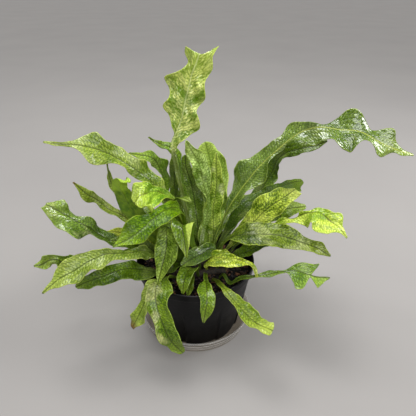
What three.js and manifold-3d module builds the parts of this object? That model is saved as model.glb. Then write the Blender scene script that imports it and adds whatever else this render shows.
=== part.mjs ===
// Crocodile fern in a nursery pot on a clear saucer.
// Millimetres, +Z up. The origin is the middle of the saucer's flat underside; +Y points away from the
// side that is looked at, +X to its right.
import * as THREE from 'three';
import Module from 'manifold-3d';
import { mergeVertices } from 'three/addons/utils/BufferGeometryUtils.js';

// Driving dimensions

// The space kept between pieces that touch, and the smallest detail kept after a cut.
const GAP = 0.3;
const FINEST = 0.1;

const SAUCER = {
  rimRadius: 74, baseRadius: 67, height: 19, wall: 1.4, lip: 2.2, sides: 36,
  stepHeight: 6, stepOut: 1.2, lipHeight: 2.4, lipDrop: 1.4,
};

const POT = {
  rimRadius: 75.5, rimHeight: 9, rimWall: 1.8, shoulderRadius: 72.5, baseRadius: 57, height: 96,
  wall: 1.4, floor: 1.6, footHeight: 2.5, footRadius: 50, footSlope: 1.5, rounding: 0.8, sides: 36,
  flutes: 9, fluteDepth: 2.2, flutesEnd: 58,
  drainHoles: 8, drainRadius: 4.5, drainRing: 40, drainSides: 10,
};

const SOIL = {
  below: 15, sides: 36, rings: 5, bump: 1.1, fineBump: 0.66, flatFrom: 0.8,
  waveX: 5.3, waveY: 4.7, fineX: 2.9, fineY: 3.3, shift: 1,
};

// The creeping rootstock: rods of [x, y] points that join where they meet.
const ROOTSTOCK = {
  radius: 5, sink: 2.8, clearance: 0.4, sides: 5,
  runs: [
    [[-15, 34], [-4, 33], [8, 35], [20, 32], [29, 26]],
    [[-31, 18], [-19, 14], [-9, 16], [0, 18], [9, 16], [20, 16], [31, 11]],
    [[-33, -3], [-18, 0], [-9, -1], [0, 0], [9, 3], [19, 3], [31, 2], [41, -4]],
    [[-31, -21], [-16, -16], [-7, -17], [5, -18], [16, -14], [27, -11], [39, -13]],
    [[8, 35], [6, 26], [9, 16]],
    [[0, 18], [1, 9], [0, 0], [2, -10], [5, -18]],
  ],
};

// The bare stalk at a frond's foot, the hole it stands in, and how it widens into the blade.
const STEM = {
  halfWidth: 2.2, bareLength: 16, blendLength: 26,
  holeRadius: 3.8, holeReach: 20, holeDepth: 1.2, holeSides: 5,
};

// Half-thicknesses at the margin, at the midrib and along the stalk, and how finely a blade is split.
const BLADE = {
  edge: 0.42, rib: 0.75, stemRib: 1.5, leastHalfWidth: 0.8,
  stationLength: 14.9, fewest: 8, most: 20, stalkShare: 0.75, cells: 4, fewCells: 2, narrow: 9,
};

// How the margin's waves, lobes and tip corners grow across and along a blade.
const MARGIN = { waveRise: 1.6, swellRise: 0.7, cornerRise: 1.5, cornerFrom: 0.8, leastSpread: 0.2 };

// Half the stretch of a midrib, as a share of its length, that its direction is read over.
const TANGENT_REACH = 0.012;

const LEAF_COLOURS = {
  lime: 0xa9c13c, bright: 0x86b52c, green: 0x5f8c2e, dark: 0x3f6420, pale: 0x93b15c, mottled: 0x7f9c3e,
};
const LEAF_ROUGHNESS = 0.4;
const CLEAR_PLASTIC = { color: 0xdfe4e6, roughness: 0.15 };
const BLACK_PLASTIC = { color: 0x1c1d20, roughness: 0.45 };
const DARK_SOIL = { color: 0x33241b, roughness: 0.95 };
const ROOT_BROWN = { color: 0x5d5330, roughness: 0.8 };

// Heights that follow from the driving dimensions
const potBase = SAUCER.wall + GAP;
const potFloor = potBase + POT.footHeight;
const potTop = potBase + POT.height;
const bandLow = potTop - POT.rimHeight;
const soilTop = potTop - SOIL.below;

// The fronds. route is the midrib from the rootstock to the tip. half is the half-width of the blade at
// even stations, one list for both sides or one for each. The stations run from the share of the midrib that
// start gives (0 if it is left out) to the tip. roll is the turn of the face about the midrib in degrees, at
// even stations of the whole midrib, counted from a face that looks up when the blade is seen to run along
// heading (degrees from +X, else the way from root to tip). fold is the keel and the cup, waves is the count,
// depth, phase and lag of the far margin, lobe is the share by which the margins swell, and end is how far
// each corner of the tip runs on past the midrib. slant moves each margin towards the tip by a share of its
// half-width, which makes lobes that point forwards. steps is how many lengths the blade is split into.
const FRONDS = [
  {
    name: 'frond_top', tone: 'lime', heading: 90,
    route: [[-2, 8, 76], [-6, 12, 128], [-16, 19, 180], [-24, 26, 220], [-26, 30, 240], [-20, 33, 257],
      [-14, 35, 271], [-11, 37, 285], [-6, 39, 304], [-2, 40, 319], [3, 40, 331], [7, 40, 341]],
    half: [
      [2, 2, 1.5, 2, 9, 16, 19, 22, 21, 22, 24, 25, 15, 9, 14, 16],
      [4, 6, 9, 15, 19, 21, 19, 17, 18, 19, 19, 19, 19, 17, 14, 18],
    ],
    roll: [0, 0, 0, 0], fold: [0.12, 0.1], waves: [9, 5, 0.1, 0.35],
    lobe: 0.02, end: [3, 16], start: 0.58,
  },
  {
    name: 'frond_left_high', tone: 'pale',
    route: [[-12, 7, 76], [-20, 7, 130], [-34, 8, 176], [-46, 7, 197], [-60, 4, 213], [-79, -2, 231],
      [-95, -5, 243], [-111, -9, 251], [-127, -13, 256], [-147, -16, 258], [-159, -18, 261]],
    half: [
      [6, 9, 10, 9, 8, 8, 8, 9, 13, 19, 20, 10, 4, 2, 2, 1],
      [7, 12, 13, 14, 14, 11, 14, 14, 12, 13, 17, 12, 5, 2, 2, 1.5],
    ],
    roll: [0, 20, 40, 45, 40], fold: [0.15, 0], waves: [6, 5, 0.2, 0.4],
    lobe: 0.02, end: [0, 0], start: 0.44,
  },
  {
    name: 'frond_left_mid', tone: 'green',
    route: [[-9, 15, 76], [-14, 21, 140], [-37, 28, 172], [-40, 31, 198], [-46, 31, 216], [-53, 28, 225],
      [-66, 25, 229], [-77, 21, 233]],
    half: [
      [3, 3, 3, 4, 5, 6, 8, 8, 8, 5, 1],
      [5, 9, 12, 13, 13, 13, 6, 9, 4, 3, 1],
    ],
    roll: [0, 20, 40], fold: [0.15, 0], waves: [4, 2, 0.5, 0.5],
    lobe: 0, end: [0, 0], start: 0.55,
  },
  {
    name: 'frond_small_left', tone: 'green', heading: 170,
    route: [[-1, 18, 76], [-9, 26, 140], [-18, 32, 189], [-20, 35, 217], [-28, 34, 234], [-39, 33, 239],
      [-48, 30, 245], [-53, 26, 251]],
    half: [2.2, 2.2, 3, 5, 6, 6, 5, 0.8],
    roll: [0, 20, 35], fold: [0.15, 0], waves: [3, 2, 0.2, 0.5],
    lobe: 0.1, end: [0, 0],
  },
  {
    name: 'frond_reddish', tone: 'green', heading: 100,
    route: [[-8, 24, 76], [-17, 30, 122], [-25, 37, 162], [-26, 40, 182], [-26, 41, 206], [-25, 42, 229]],
    half: [2.2, 2.4, 4, 9, 8, 7, 6, 2],
    roll: [0, 30, 30], fold: [0.4, 0], waves: [2, 2, 0.2, 0.5],
    lobe: 0.1, end: [0, 0],
  },
  {
    name: 'frond_centre_broad', tone: 'green', heading: 85,
    route: [[9, 16, 76], [14, 20, 108], [24, 28, 145], [25, 34, 178], [22, 40, 204], [17, 44, 222],
      [13, 46, 238]],
    half: [
      [2.4, 11, 14, 14, 15, 17, 19, 20, 12],
      [2.4, 9, 12, 13, 15, 17, 19, 18, 10],
    ],
    roll: [0, 0, 0], fold: [0.2, 0.1], waves: [4, 5, 0.4, 0.4],
    lobe: 0.04, end: [0, 0],
  },
  {
    name: 'frond_centre_wavy', tone: 'mottled', heading: 90,
    route: [[6, 6, 76], [8, 6, 120], [15, 8, 156], [16, 9, 177], [11, 9, 197], [8, 8, 215], [4, 7, 230],
      [-3, 6, 243], [-8, 4, 254]],
    half: [
      [3, 4, 5, 3, 2, 4, 8, 10, 11, 9, 9, 7, 3],
      [3, 4, 5, 4, 3, 6, 9, 10, 12, 12, 9, 5, 2],
    ],
    roll: [0, -10, -20], fold: [0.2, 0], waves: [4, 5, 0, 0.5],
    lobe: 0, end: [0, 0], start: 0.35,
  },
  {
    name: 'frond_bright_tip', tone: 'lime', heading: 85,
    route: [[14, 9, 76], [23, 15, 118], [23, 17, 141], [23, 19, 161], [26, 21, 181], [27, 21, 201],
      [26, 22, 216], [26, 22, 233]],
    half: [
      [6, 10, 11, 11, 11, 9, 7, 6, 6, 6, 4, 1],
      [6, 9, 10, 10, 9, 11, 11, 9, 7, 7, 4, 1],
    ],
    roll: [0, 0, 0], fold: [0.2, 0], waves: [4, 4, 0.4, 0.5],
    lobe: 0, end: [0, 0], start: 0.3,
  },
  {
    name: 'frond_dark_centre', tone: 'dark', heading: 95,
    route: [[0, 26, 76], [3, 31, 116], [-1, 44, 152], [-6, 52, 179], [-12, 56, 200], [-13, 58, 216]],
    half: [
      [2.2, 4, 9, 14, 14, 12, 8, 5],
      [2.2, 4, 9, 13, 14, 12, 8, 5],
    ],
    roll: [0, 0, 0], fold: [0.2, 0], waves: [3, 3, 0.2, 0.5],
    lobe: 0.05, end: [0, 0],
  },
  {
    name: 'frond_right_long', tone: 'green',
    route: [[19, 3, 76], [24, 5, 118], [34, 10, 145], [45, 12, 170], [62, 15, 197], [80, 16, 221],
      [96, 16, 238], [112, 15, 254], [126, 14, 263], [141, 10, 268], [162, 4, 267], [182, -2, 267],
      [201, -8, 258], [220, -12, 250], [241, -13, 244]],
    half: [
      [4, 6, 11, 19, 23, 23, 18, 17, 12, 11, 12, 17, 10, 5, 5, 15, 21, 20, 10, 14, 19, 11, 4, 1],
      [8, 9, 11, 13, 14, 17, 18, 10, 4, 3, 3, 8, 18, 21, 17, 16, 25, 23, 9, 11, 15, 4, 5, 1],
    ],
    roll: [0, -20, -40, -45, -45, -50], fold: [0.12, 0], waves: [8, 6, 0, 0.4],
    lobe: 0, end: [0, 0], start: 0.25,
  },
  {
    name: 'frond_right_back', tone: 'dark',
    route: [[17, 24, 76], [35, 40, 93], [56, 58, 116], [81, 72, 145], [102, 83, 176], [110, 80, 200],
      [118, 72, 213], [134, 64, 222], [151, 58, 228], [165, 55, 236]],
    half: [
      [6, 9, 12, 14, 16, 16, 16, 15, 14, 12, 7, 1],
      [6, 11, 12, 13, 13, 9, 7, 6, 8, 8, 6, 1],
    ],
    roll: [0, -20, -40], fold: [0.15, 0], waves: [5, 3, 0.3, 0.4],
    lobe: 0, end: [0, 0], start: 0.35,
  },
  {
    name: 'frond_right_mottled', tone: 'lime',
    route: [[26, 10, 76], [40, 13, 100], [52, 16, 114], [64, 18, 126], [76, 20, 140], [93, 24, 158],
      [109, 26, 169], [126, 28, 182]],
    half: [
      [5, 10, 13, 15, 17, 18, 17, 16, 13, 3],
      [5, 9, 12, 14, 15, 17, 17, 15, 12, 9],
    ],
    roll: [0, -30, -40], fold: [0.15, 0], waves: [3, 3, 0.1, 0.5],
    lobe: 0, end: [0, 3], start: 0.3,
  },
  {
    name: 'frond_right_round', tone: 'dark',
    route: [[20, 16, 76], [36, 30, 109], [65, 44, 146], [89, 56, 155], [106, 62, 164], [127, 70, 170],
      [146, 78, 170]],
    half: [
      [8, 12, 14, 12, 9, 7, 7, 4],
      [6, 9, 12, 17, 22, 25, 22, 8],
    ],
    roll: [0, -20, -20], fold: [0.15, 0], waves: [3, 3, 0.1, 0.5],
    lobe: 0, end: [0, 0], start: 0.35,
  },
  {
    name: 'frond_right_mid', tone: 'green',
    route: [[31, 2, 76], [51, 16, 103], [77, 26, 129], [107, 29, 150], [144, 36, 153]],
    half: [2.2, 4, 6, 9, 11, 12, 4],
    roll: [0, 0, -30, -40], fold: [0.15, 0], waves: [3, 3, 0.1, 0.5],
    lobe: 0.1, end: [0, 0],
  },
  {
    name: 'frond_right_yellow', tone: 'lime',
    route: [[36, -4, 76], [55, -2, 107], [86, -1, 139], [106, -9, 159], [116, -14, 164], [124, -18, 170],
      [131, -23, 177], [138, -27, 181], [145, -32, 180], [152, -39, 177], [160, -45, 172],
      [170, -53, 162]],
    half: [
      [2, 2, 2, 1, 1, 2, 3, 7, 8, 8, 14, 10, 5, 1],
      [4, 6, 8, 9, 11, 14, 19, 20, 20, 21, 20, 16, 5, 1],
    ],
    roll: [0, 0, -30, -30], fold: [0.15, 0], waves: [6, 5, 0.1, 0.4],
    lobe: 0, end: [0, 0], start: 0.5,
  },
  {
    name: 'frond_right_low', tone: 'mottled',
    route: [[27, -10, 76], [31, -12, 110], [36, -15, 130], [49, -17, 141], [66, -24, 148], [80, -26, 150],
      [95, -28, 150], [109, -32, 149], [123, -37, 146], [140, -42, 142], [157, -48, 134]],
    half: [
      [5, 9, 11, 15, 16, 17, 15, 12, 10, 8, 8, 1],
      [3, 6, 11, 14, 18, 19, 18, 15, 11, 10, 7, 1],
    ],
    roll: [0, -10, -30, -30], fold: [0.2, 0], waves: [4, 4, 0.4, 0.4],
    lobe: 0, end: [0, 0], start: 0.25,
  },
  {
    name: 'frond_right_under', tone: 'dark',
    route: [[35, -13, 76], [45, -8, 101], [65, -12, 115], [80, -14, 125], [99, -15, 134],
      [116, -14, 137]],
    half: [
      [2.2, 3, 7, 9, 8, 5, 1],
      [2.2, 3, 6, 7, 7, 4, 1],
    ],
    roll: [0, -20, -30], fold: [0.2, 0], waves: [2, 2, 0.4, 0.5],
    lobe: 0, end: [0, 0],
  },
  {
    name: 'frond_yellow_front', tone: 'lime',
    route: [[16, -14, 76], [15, -15, 98], [20, -20, 110], [30, -27, 116], [40, -34, 121], [54, -42, 124],
      [65, -48, 122], [70, -52, 118], [73, -57, 110]],
    half: [
      [5, 8, 11, 13, 8, 3, 2, 4, 3, 1],
      [12, 18, 22, 22, 18, 15, 11, 2, 2, 1],
    ],
    roll: [0, -20, -20], fold: [0.3, 0], waves: [3, 3, 0.2, 0.5],
    lobe: 0, end: [0, 0], start: 0.25,
  },
  {
    name: 'frond_right_crested', tone: 'green',
    route: [[29, -18, 76], [35, -28, 92], [43, -41, 90], [55, -45, 100], [68, -48, 105], [83, -51, 110],
      [94, -53, 114], [105, -56, 118], [116, -58, 121], [128, -61, 119], [139, -63, 116],
      [154, -66, 117]],
    half: [
      [3, 3, 3, 2.5, 2, 1.5, 2, 3, 4, 4, 3, 3, 2, 2, 4, 7, 10, 12, 13, 14.5, 1.5, 1, 1, 1, 1, 0.8],
      [4, 4, 4, 4, 4, 3, 3, 3, 4, 5, 5, 4, 3, 2, 2.5, 12, 17, 21, 22, 18, 3, 6, 12, 12, 7, 1],
    ],
    roll: [0, -20, -40], fold: [0.15, 0], waves: [4, 2, 0.2, 0.5],
    lobe: 0, end: [0, 0], start: 0.3, slant: [0.75, 0], steps: 26,
  },
  {
    name: 'frond_front_right', tone: 'pale',
    route: [[22, -24, 76], [23, -32, 88], [28, -46, 95], [36, -65, 99], [44, -79, 97], [52, -89, 93],
      [59, -95, 89], [67, -101, 84], [75, -105, 82], [86, -110, 79]],
    half: [
      [2.2, 3, 3, 4, 5, 8, 10, 12, 11, 10, 9, 9],
      [2.2, 3, 4, 4, 5, 4.5, 6, 8, 10, 10, 9, 8],
    ],
    roll: [0, 0, 0], fold: [0.2, 0], waves: [4, 2, 0.2, 0.5],
    lobe: 0, end: [1, 1], start: 0.15,
  },
  {
    name: 'frond_front_centre', tone: 'green',
    route: [[12, -22, 76], [13, -34, 98], [14, -54, 103], [15, -73, 103], [15, -85, 97], [13, -89, 86],
      [11, -90, 72]],
    half: [
      [2.5, 3, 5, 7, 9, 9, 9, 8, 6, 3, 1],
      [3, 8, 10, 11, 10, 8, 7, 6, 4, 3, 1],
    ],
    roll: [0, 0, 0], fold: [0.2, 0.1], waves: [2, 2, 0.2, 0.5],
    lobe: 0, end: [0, 0], start: 0.45,
  },
  {
    name: 'frond_front_small', tone: 'green',
    route: [[5, -18, 76], [2, -28, 98], [-5, -40, 109], [-11, -57, 108], [-13, -66, 93]],
    half: [2.2, 5, 9, 10, 8, 2],
    roll: [0, 0, 0], fold: [0.2, 0.1], waves: [2, 2, 0.2, 0.5],
    lobe: 0.08, end: [0, 0],
  },
  {
    name: 'frond_front_little', tone: 'green',
    route: [[-2, -24, 76], [-3, -29, 92], [-4, -42, 93], [-6, -52, 89], [-8, -62, 85]],
    half: [2.2, 4, 5, 5, 1],
    roll: [0, 0, 0], fold: [0.2, 0.1], waves: [2, 1, 0.2, 0.5],
    lobe: 0.1, end: [0, 0],
  },
  {
    name: 'frond_hang_left', tone: 'green',
    route: [[-13, -8, 76], [-18, -12, 128], [-26, -20, 152], [-32, -28, 158], [-31, -37, 150],
      [-32, -46, 140], [-36, -56, 126], [-41, -68, 108]],
    half: [
      [2.5, 4, 8, 13, 15, 15, 11, 8, 5, 1],
      [3, 7, 10, 12, 12, 11, 9, 6, 4, 1],
    ],
    roll: [0, 10, 10], fold: [0.15, 0.1], waves: [2, 2, 0.2, 0.5],
    lobe: 0, end: [0, 0], start: 0.5,
  },
  {
    name: 'frond_hang_centre', tone: 'lime',
    route: [[5, -8, 76], [4, -9, 100], [-8, -15, 134], [-12, -24, 158], [-13, -35, 165], [-10, -47, 151],
      [-8, -55, 137]],
    half: [
      [2.2, 3, 5, 7, 11, 16, 9, 1.5],
      [2.2, 3, 5, 8, 12, 14, 9, 1.5],
    ],
    roll: [0, 0, 0], fold: [0.5, 0], waves: [2, 2, 0.2, 0.5],
    lobe: 0.05, end: [0, 0],
  },
  {
    name: 'frond_broad_left', tone: 'bright',
    route: [[-9, -1, 76], [-12, -2, 140], [-16, -10, 172], [-23, -20, 182], [-31, -32, 186],
      [-40, -42, 184], [-50, -52, 179], [-61, -62, 173], [-72, -69, 169], [-84, -76, 166]],
    half: [
      [5, 8, 11, 15, 17, 14, 12, 12, 10, 6, 1],
      [4, 7, 9, 9, 8, 10, 14, 16, 16, 9, 1],
    ],
    roll: [0, 12, 24, 24], fold: [0.15, 0], waves: [3, 3, 0.2, 0.5],
    lobe: 0, end: [0, 0], start: 0.45,
  },
  {
    name: 'frond_bright', tone: 'lime',
    route: [[0, 0, 76], [1, 2, 98], [-9, 5, 130], [-21, 9, 159], [-25, 8, 177], [-37, 2, 190],
      [-50, -10, 197.5], [-59, -22, 199], [-66, -30, 194]],
    half: [
      [3, 4, 5, 12, 20, 25, 25, 25, 17],
      [4, 5, 6, 8, 7, 8, 12, 17, 9],
    ],
    roll: [0, 5, 23, 32], fold: [0.2, 0], waves: [3, 3, 0.2, 0.5],
    lobe: 0, end: [0, 0], start: 0.5, slant: [0.55, 0],
  },
  {
    name: 'frond_small_tip', tone: 'green', heading: 300,
    route: [[-4, -8, 76], [-23, -5, 131], [-28, -2, 163], [-26, -1, 179], [-18, -8, 188], [-10, -17, 192],
      [-2, -27, 193]],
    half: [
      [2.2, 3, 5, 6, 5, 3, 1],
      [2.2, 3, 4, 5, 5, 3, 1],
    ],
    roll: [0, 0, 0], fold: [0.15, 0], waves: [2, 1, 0.2, 0.5],
    lobe: 0, end: [0, 0], start: 0.78,
  },
  {
    name: 'frond_left_curled_back', tone: 'dark', heading: 262,
    route: [[-17, 0, 76], [-53, 0, 137], [-69, -2, 161], [-78, -4, 180], [-82, -8, 196], [-84, -12, 207],
      [-79, -17, 215], [-70, -22, 216]],
    half: [
      [2.2, 3, 8, 10, 10, 10, 9, 4],
      [2.2, 5, 11, 14, 16, 16, 11, 4],
    ],
    roll: [0, 0, 0], fold: [0.15, 0], waves: [2, 2, 0.2, 0.5],
    lobe: 0, end: [0, 0],
  },
  {
    name: 'frond_left_narrow', tone: 'pale',
    route: [[-18, 14, 76], [-46, 14, 124], [-82, 19, 164], [-100, 22, 187], [-104, 22, 204],
      [-104, 20, 222]],
    half: [2.2, 2.4, 3, 5, 6, 5, 1],
    roll: [0, 20, 20], fold: [0.15, 0], waves: [2, 1, 0.2, 0.5],
    lobe: 0.08, end: [0, 0],
  },
  {
    name: 'frond_left_yellow', tone: 'lime',
    route: [[-22, 7, 76], [-42, 9, 110], [-66, 12, 136], [-86, 13, 149], [-96, 13, 156], [-105, 12, 161],
      [-113, 11, 169], [-120, 9, 178], [-128, 5, 186], [-133, 3, 193], [-141, 0, 205]],
    half: [
      [3, 4, 6, 6, 6, 7, 5, 9, 6, 1],
      [3, 4, 5, 5, 6, 7, 5, 6, 4, 1],
    ],
    roll: [0, 30, 35], fold: [0.15, 0], waves: [3, 2, 0.2, 0.5],
    lobe: 0, end: [0, 0], start: 0.4,
  },
  {
    name: 'frond_left_wide', tone: 'mottled',
    route: [[-21, -7, 76], [-43, -5, 106], [-67, -12, 124], [-85, -17, 130], [-98, -20, 136],
      [-108, -24, 145], [-116, -26, 153], [-121, -29, 161], [-131, -34, 171], [-144, -39, 185],
      [-150, -42, 192], [-159, -45, 200]],
    half: [
      [4, 5, 6, 6, 5, 8, 6, 13, 20, 23, 21, 15, 12, 8],
      [4, 5, 6, 8, 9, 10, 9, 10, 9, 9, 8, 10, 14, 4],
    ],
    roll: [0, 30, 40], fold: [0.15, 0], waves: [5, 5, 0.2, 0.45],
    lobe: 0, end: [4, 0], start: 0.4,
  },
  {
    name: 'frond_left_little', tone: 'lime',
    route: [[-27, 0, 76], [-46, 3, 103], [-74, 4, 123], [-95, 0, 136], [-109, -8, 142]],
    half: [2.2, 3, 6, 7, 6, 1],
    roll: [0, 30, 30], fold: [0.15, 0], waves: [3, 3, 0.2, 0.5],
    lobe: 0.1, end: [0, 0],
  },
  {
    name: 'frond_left_under', tone: 'dark',
    route: [[-30, -8, 76], [-52, -20, 123], [-70, -24, 132], [-85, -30, 143], [-98, -34, 146]],
    half: [
      [2.2, 4, 7, 9, 8, 3],
      [2.2, 5, 8, 10, 8, 3],
    ],
    roll: [0, 30, 30], fold: [0.15, 0], waves: [2, 1, 0.2, 0.5],
    lobe: 0.05, end: [0, 0],
  },
  {
    name: 'frond_left_low', tone: 'pale',
    route: [[-24, -15, 76], [-38, -22, 110], [-59, -36, 133], [-74, -45, 136], [-86, -51, 140],
      [-99, -57, 143], [-115, -64, 139], [-130, -73, 133], [-145, -80, 127], [-155, -86, 121],
      [-163, -90, 115]],
    half: [
      [6, 9, 12, 12, 11, 8, 9, 14, 16, 12, 12, 14, 12, 10, 4, 1],
      [3, 4, 5, 5, 5, 5, 5, 6, 11, 14, 14, 15, 13, 7, 4, 1],
    ],
    roll: [0, 30, 30], fold: [0.15, 0], waves: [4.5, 4, 0.2, 0.4],
    lobe: 0, end: [0, 0], start: 0.28,
  },
  {
    name: 'frond_left_dark', tone: 'dark',
    route: [[-27, -23, 76], [-44, -28, 93], [-60, -36, 105], [-76, -44, 113], [-88, -50, 115],
      [-102, -58, 114], [-117, -68, 114], [-131, -77, 113]],
    half: [
      [5, 12, 15, 15, 14, 13, 11, 10, 10, 3],
      [4, 7, 7, 8, 9, 11, 8, 9, 8, 3],
    ],
    roll: [0, 30, 30], fold: [0.15, 0], waves: [3.5, 4, 0.2, 0.4],
    lobe: 0, end: [0, 0], start: 0.2,
  },
  {
    name: 'frond_left_curl', tone: 'green',
    route: [[-26, 15, 76], [-50, 16, 96], [-76, 10, 104], [-100, 2, 99], [-122, -3, 99], [-144, -7, 96],
      [-162, -11, 95], [-172, -14, 104], [-181, -17, 106], [-190, -20, 102], [-199, -24, 102]],
    half: [7, 10, 12, 11, 6, 6, 8, 7, 1],
    roll: [0, 30, 50, 60], fold: [0.15, 0], waves: [4, 3, 0.2, 0.5],
    lobe: 0, end: [0, 0], start: 0.68,
  },
  {
    name: 'frond_front_left', tone: 'bright',
    route: [[-13, -24, 76], [-25, -41, 98], [-37, -56, 107], [-42, -68, 106], [-43, -78, 100],
      [-40, -88, 90], [-34, -96, 75], [-29, -100, 63], [-22, -103, 52], [-12, -104, 40]],
    half: [
      [9, 19, 20, 16, 13, 13, 13, 13, 13, 12, 10, 5],
      [3, 6, 9, 12, 11, 9, 9, 10, 11, 9, 8, 4],
    ],
    roll: [0, 0, 0, 0], fold: [0.2, 0.1], waves: [3.5, 4, 0.2, 0.4],
    lobe: 0, end: [0, 0], start: 0.35,
  },
  {
    name: 'frond_short_left', tone: 'green',
    route: [[-21, -28, 76], [-36, -42, 92], [-46, -56, 103], [-49, -65, 103], [-52, -70, 95],
      [-57, -75, 86], [-62, -79, 76], [-67, -81, 66], [-72, -83, 57]],
    half: [
      [3, 5, 7, 8, 11, 13, 13, 8, 5],
      [3, 5, 7, 8, 8, 7, 7, 8, 5],
    ],
    roll: [0, 0, 0], fold: [0.2, 0.1], waves: [3, 2, 0.2, 0.5],
    lobe: 0, end: [0, 0], start: 0.3,
  },
  {
    name: 'frond_hang_dark', tone: 'dark',
    route: [[-16, -16, 76], [-24, -19, 124], [-31, -25, 138], [-36, -33, 136], [-37, -39, 122],
      [-34, -43, 108]],
    half: [2.2, 5, 10, 12, 12, 8, 1],
    roll: [0, 0, 0], fold: [0.2, 0.1], waves: [3, 2, 0.2, 0.5],
    lobe: 0.1, end: [0, 0],
  },
  {
    name: 'frond_front_dark', tone: 'dark',
    route: [[-8, -17, 76], [-11, -24, 97], [-17, -26, 104], [-27, -31, 106], [-34, -35, 98]],
    half: [
      [2.2, 5, 9, 10, 2],
      [2.2, 4, 6, 8, 2],
    ],
    roll: [0, 0, 0], fold: [0.2, 0.1], waves: [3, 2, 0.2, 0.5],
    lobe: 0.1, end: [0, 0],
  },
  {
    name: 'frond_crosswise', tone: 'pale',
    route: [[19, -7, 76], [29, -0.8, 104], [19, -5.4, 115.5], [8, -18, 116], [-6, -29, 115],
      [-16, -39, 113.5]],
    half: [2.2, 2.2, 4.6, 9.5, 10, 4],
    roll: [0, 35, 35], fold: [0.2, 0.1], waves: [3, 2, 0.2, 0.5],
    lobe: 0.1, end: [0, 0],
  },
  {
    name: 'frond_back_right', tone: 'green',
    route: [[21, 31, 76], [33, 60, 102], [58, 86, 122], [88, 108, 124], [112, 132, 110]],
    half: [2.2, 5, 10, 13, 12, 2],
    roll: [0, 0, 0], fold: [0.2, 0.1], waves: [3, 2, 0.2, 0.5],
    lobe: 0.1, end: [0, 0],
  },
  {
    name: 'frond_back_mid', tone: 'green',
    route: [[8, 34, 76], [13, 50, 110], [18, 78, 128], [24, 108, 128], [29, 136, 112], [31, 150, 96]],
    half: [2.2, 5, 10, 13, 14, 12, 2],
    roll: [0, 0, 0], fold: [0.2, 0.1], waves: [3, 2, 0.2, 0.5],
    lobe: 0.1, end: [0, 0],
  },
  {
    name: 'frond_back_left', tone: 'green',
    route: [[-6, 34, 76], [-14, 46, 110], [-28, 70, 130], [-46, 96, 134], [-62, 124, 122],
      [-72, 142, 104]],
    half: [2.2, 5, 10, 13, 14, 12, 2],
    roll: [0, 0, 0], fold: [0.2, 0.1], waves: [3, 2, 0.2, 0.5],
    lobe: 0.1, end: [0, 0],
  },
  {
    name: 'frond_back_side', tone: 'green',
    route: [[-18, 23, 76], [-30, 32, 108], [-54, 46, 128], [-76, 58, 134], [-94, 68, 127]],
    half: [2.2, 5, 10, 13, 12, 2],
    roll: [0, 0, 0], fold: [0.2, 0.1], waves: [3, 2, 0.2, 0.5],
    lobe: 0.1, end: [0, 0],
  },
];

const wasm = await Module();
wasm.setup();

// Turns a closed geometry into a solid that can be cut and joined.
function solidOf(geometry) {
  const bare = geometry.index ? geometry.clone() : geometry;
  bare.deleteAttribute('normal');
  bare.deleteAttribute('uv');
  const merged = mergeVertices(bare, 1e-4);
  const index = merged.index.array;
  const kept = [];
  for (let i = 0; i < index.length; i += 3) {
    const [a, b, c] = [index[i], index[i + 1], index[i + 2]];
    if (a !== b && b !== c && c !== a) kept.push(a, b, c);
  }
  const mesh = new wasm.Mesh({
    numProp: 3,
    vertProperties: Float32Array.from(merged.attributes.position.array),
    triVerts: Uint32Array.from(kept),
  });
  return new wasm.Manifold(mesh);
}

function geometryOf(solid) {
  const mesh = solid.getMesh();
  const geometry = new THREE.BufferGeometry();
  geometry.setAttribute('position', new THREE.BufferAttribute(Float32Array.from(mesh.vertProperties), 3));
  geometry.setIndex(new THREE.BufferAttribute(Uint32Array.from(mesh.triVerts), 1));
  return geometry;
}

function moved(geometry, move) {
  const position = geometry.attributes.position;
  const point = new THREE.Vector3();
  for (let i = 0; i < position.count; i += 1) {
    point.fromBufferAttribute(position, i);
    move(point);
    position.setXYZ(i, point.x, point.y, point.z);
  }
  return geometry;
}

// A lathe about +Z from a closed profile of [radius, height] pairs, listed counter-clockwise.
function turned(profile, sides) {
  const points = profile.map(([radius, height]) => new THREE.Vector2(radius, height));
  const geometry = new THREE.LatheGeometry(points, sides);
  return geometry.rotateX(Math.PI / 2);
}

const smooth = (low, high, value) => THREE.MathUtils.smoothstep(value, low, high);
const curveThrough = (points) => new THREE.CatmullRomCurve3(points, false, 'catmullrom', 0.5);

// The pot's outer radius at a height on its tapered wall.
function wallRadius(z) {
  const high = bandLow - 1;
  return THREE.MathUtils.lerp(POT.baseRadius, POT.shoulderRadius, (z - potBase) / (high - potBase));
}

// A frond is a midrib curve, the direction across it, and the half-width on each side of it.

const midribOf = (frond) => curveThrough(frond.route.map((point) => new THREE.Vector3(...point)));

// A list of values at even stations, read smoothly at t from 0 to 1. f is the place between stations b and
// c, and a and d are the stations before and after them.
function along(values, t) {
  const last = values.length - 1;
  const place = Math.min(Math.max(t, 0), 1) * last;
  const i = Math.min(Math.floor(place), last - 1);
  const f = place - i;
  const b = values[i];
  const c = values[i + 1];
  const a = i > 0 ? values[i - 1] : 2 * b - c;
  const d = i + 2 <= last ? values[i + 2] : 2 * c - b;
  const bend = 2 * a - 5 * b + 4 * c - d;
  const twist = 3 * b - a - 3 * c + d;
  return 0.5 * (2 * b + (c - a) * f + bend * f * f + twist * f ** 3);
}

const rowPair = (rows) => (Array.isArray(rows[0]) ? rows : [rows, rows]);

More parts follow.
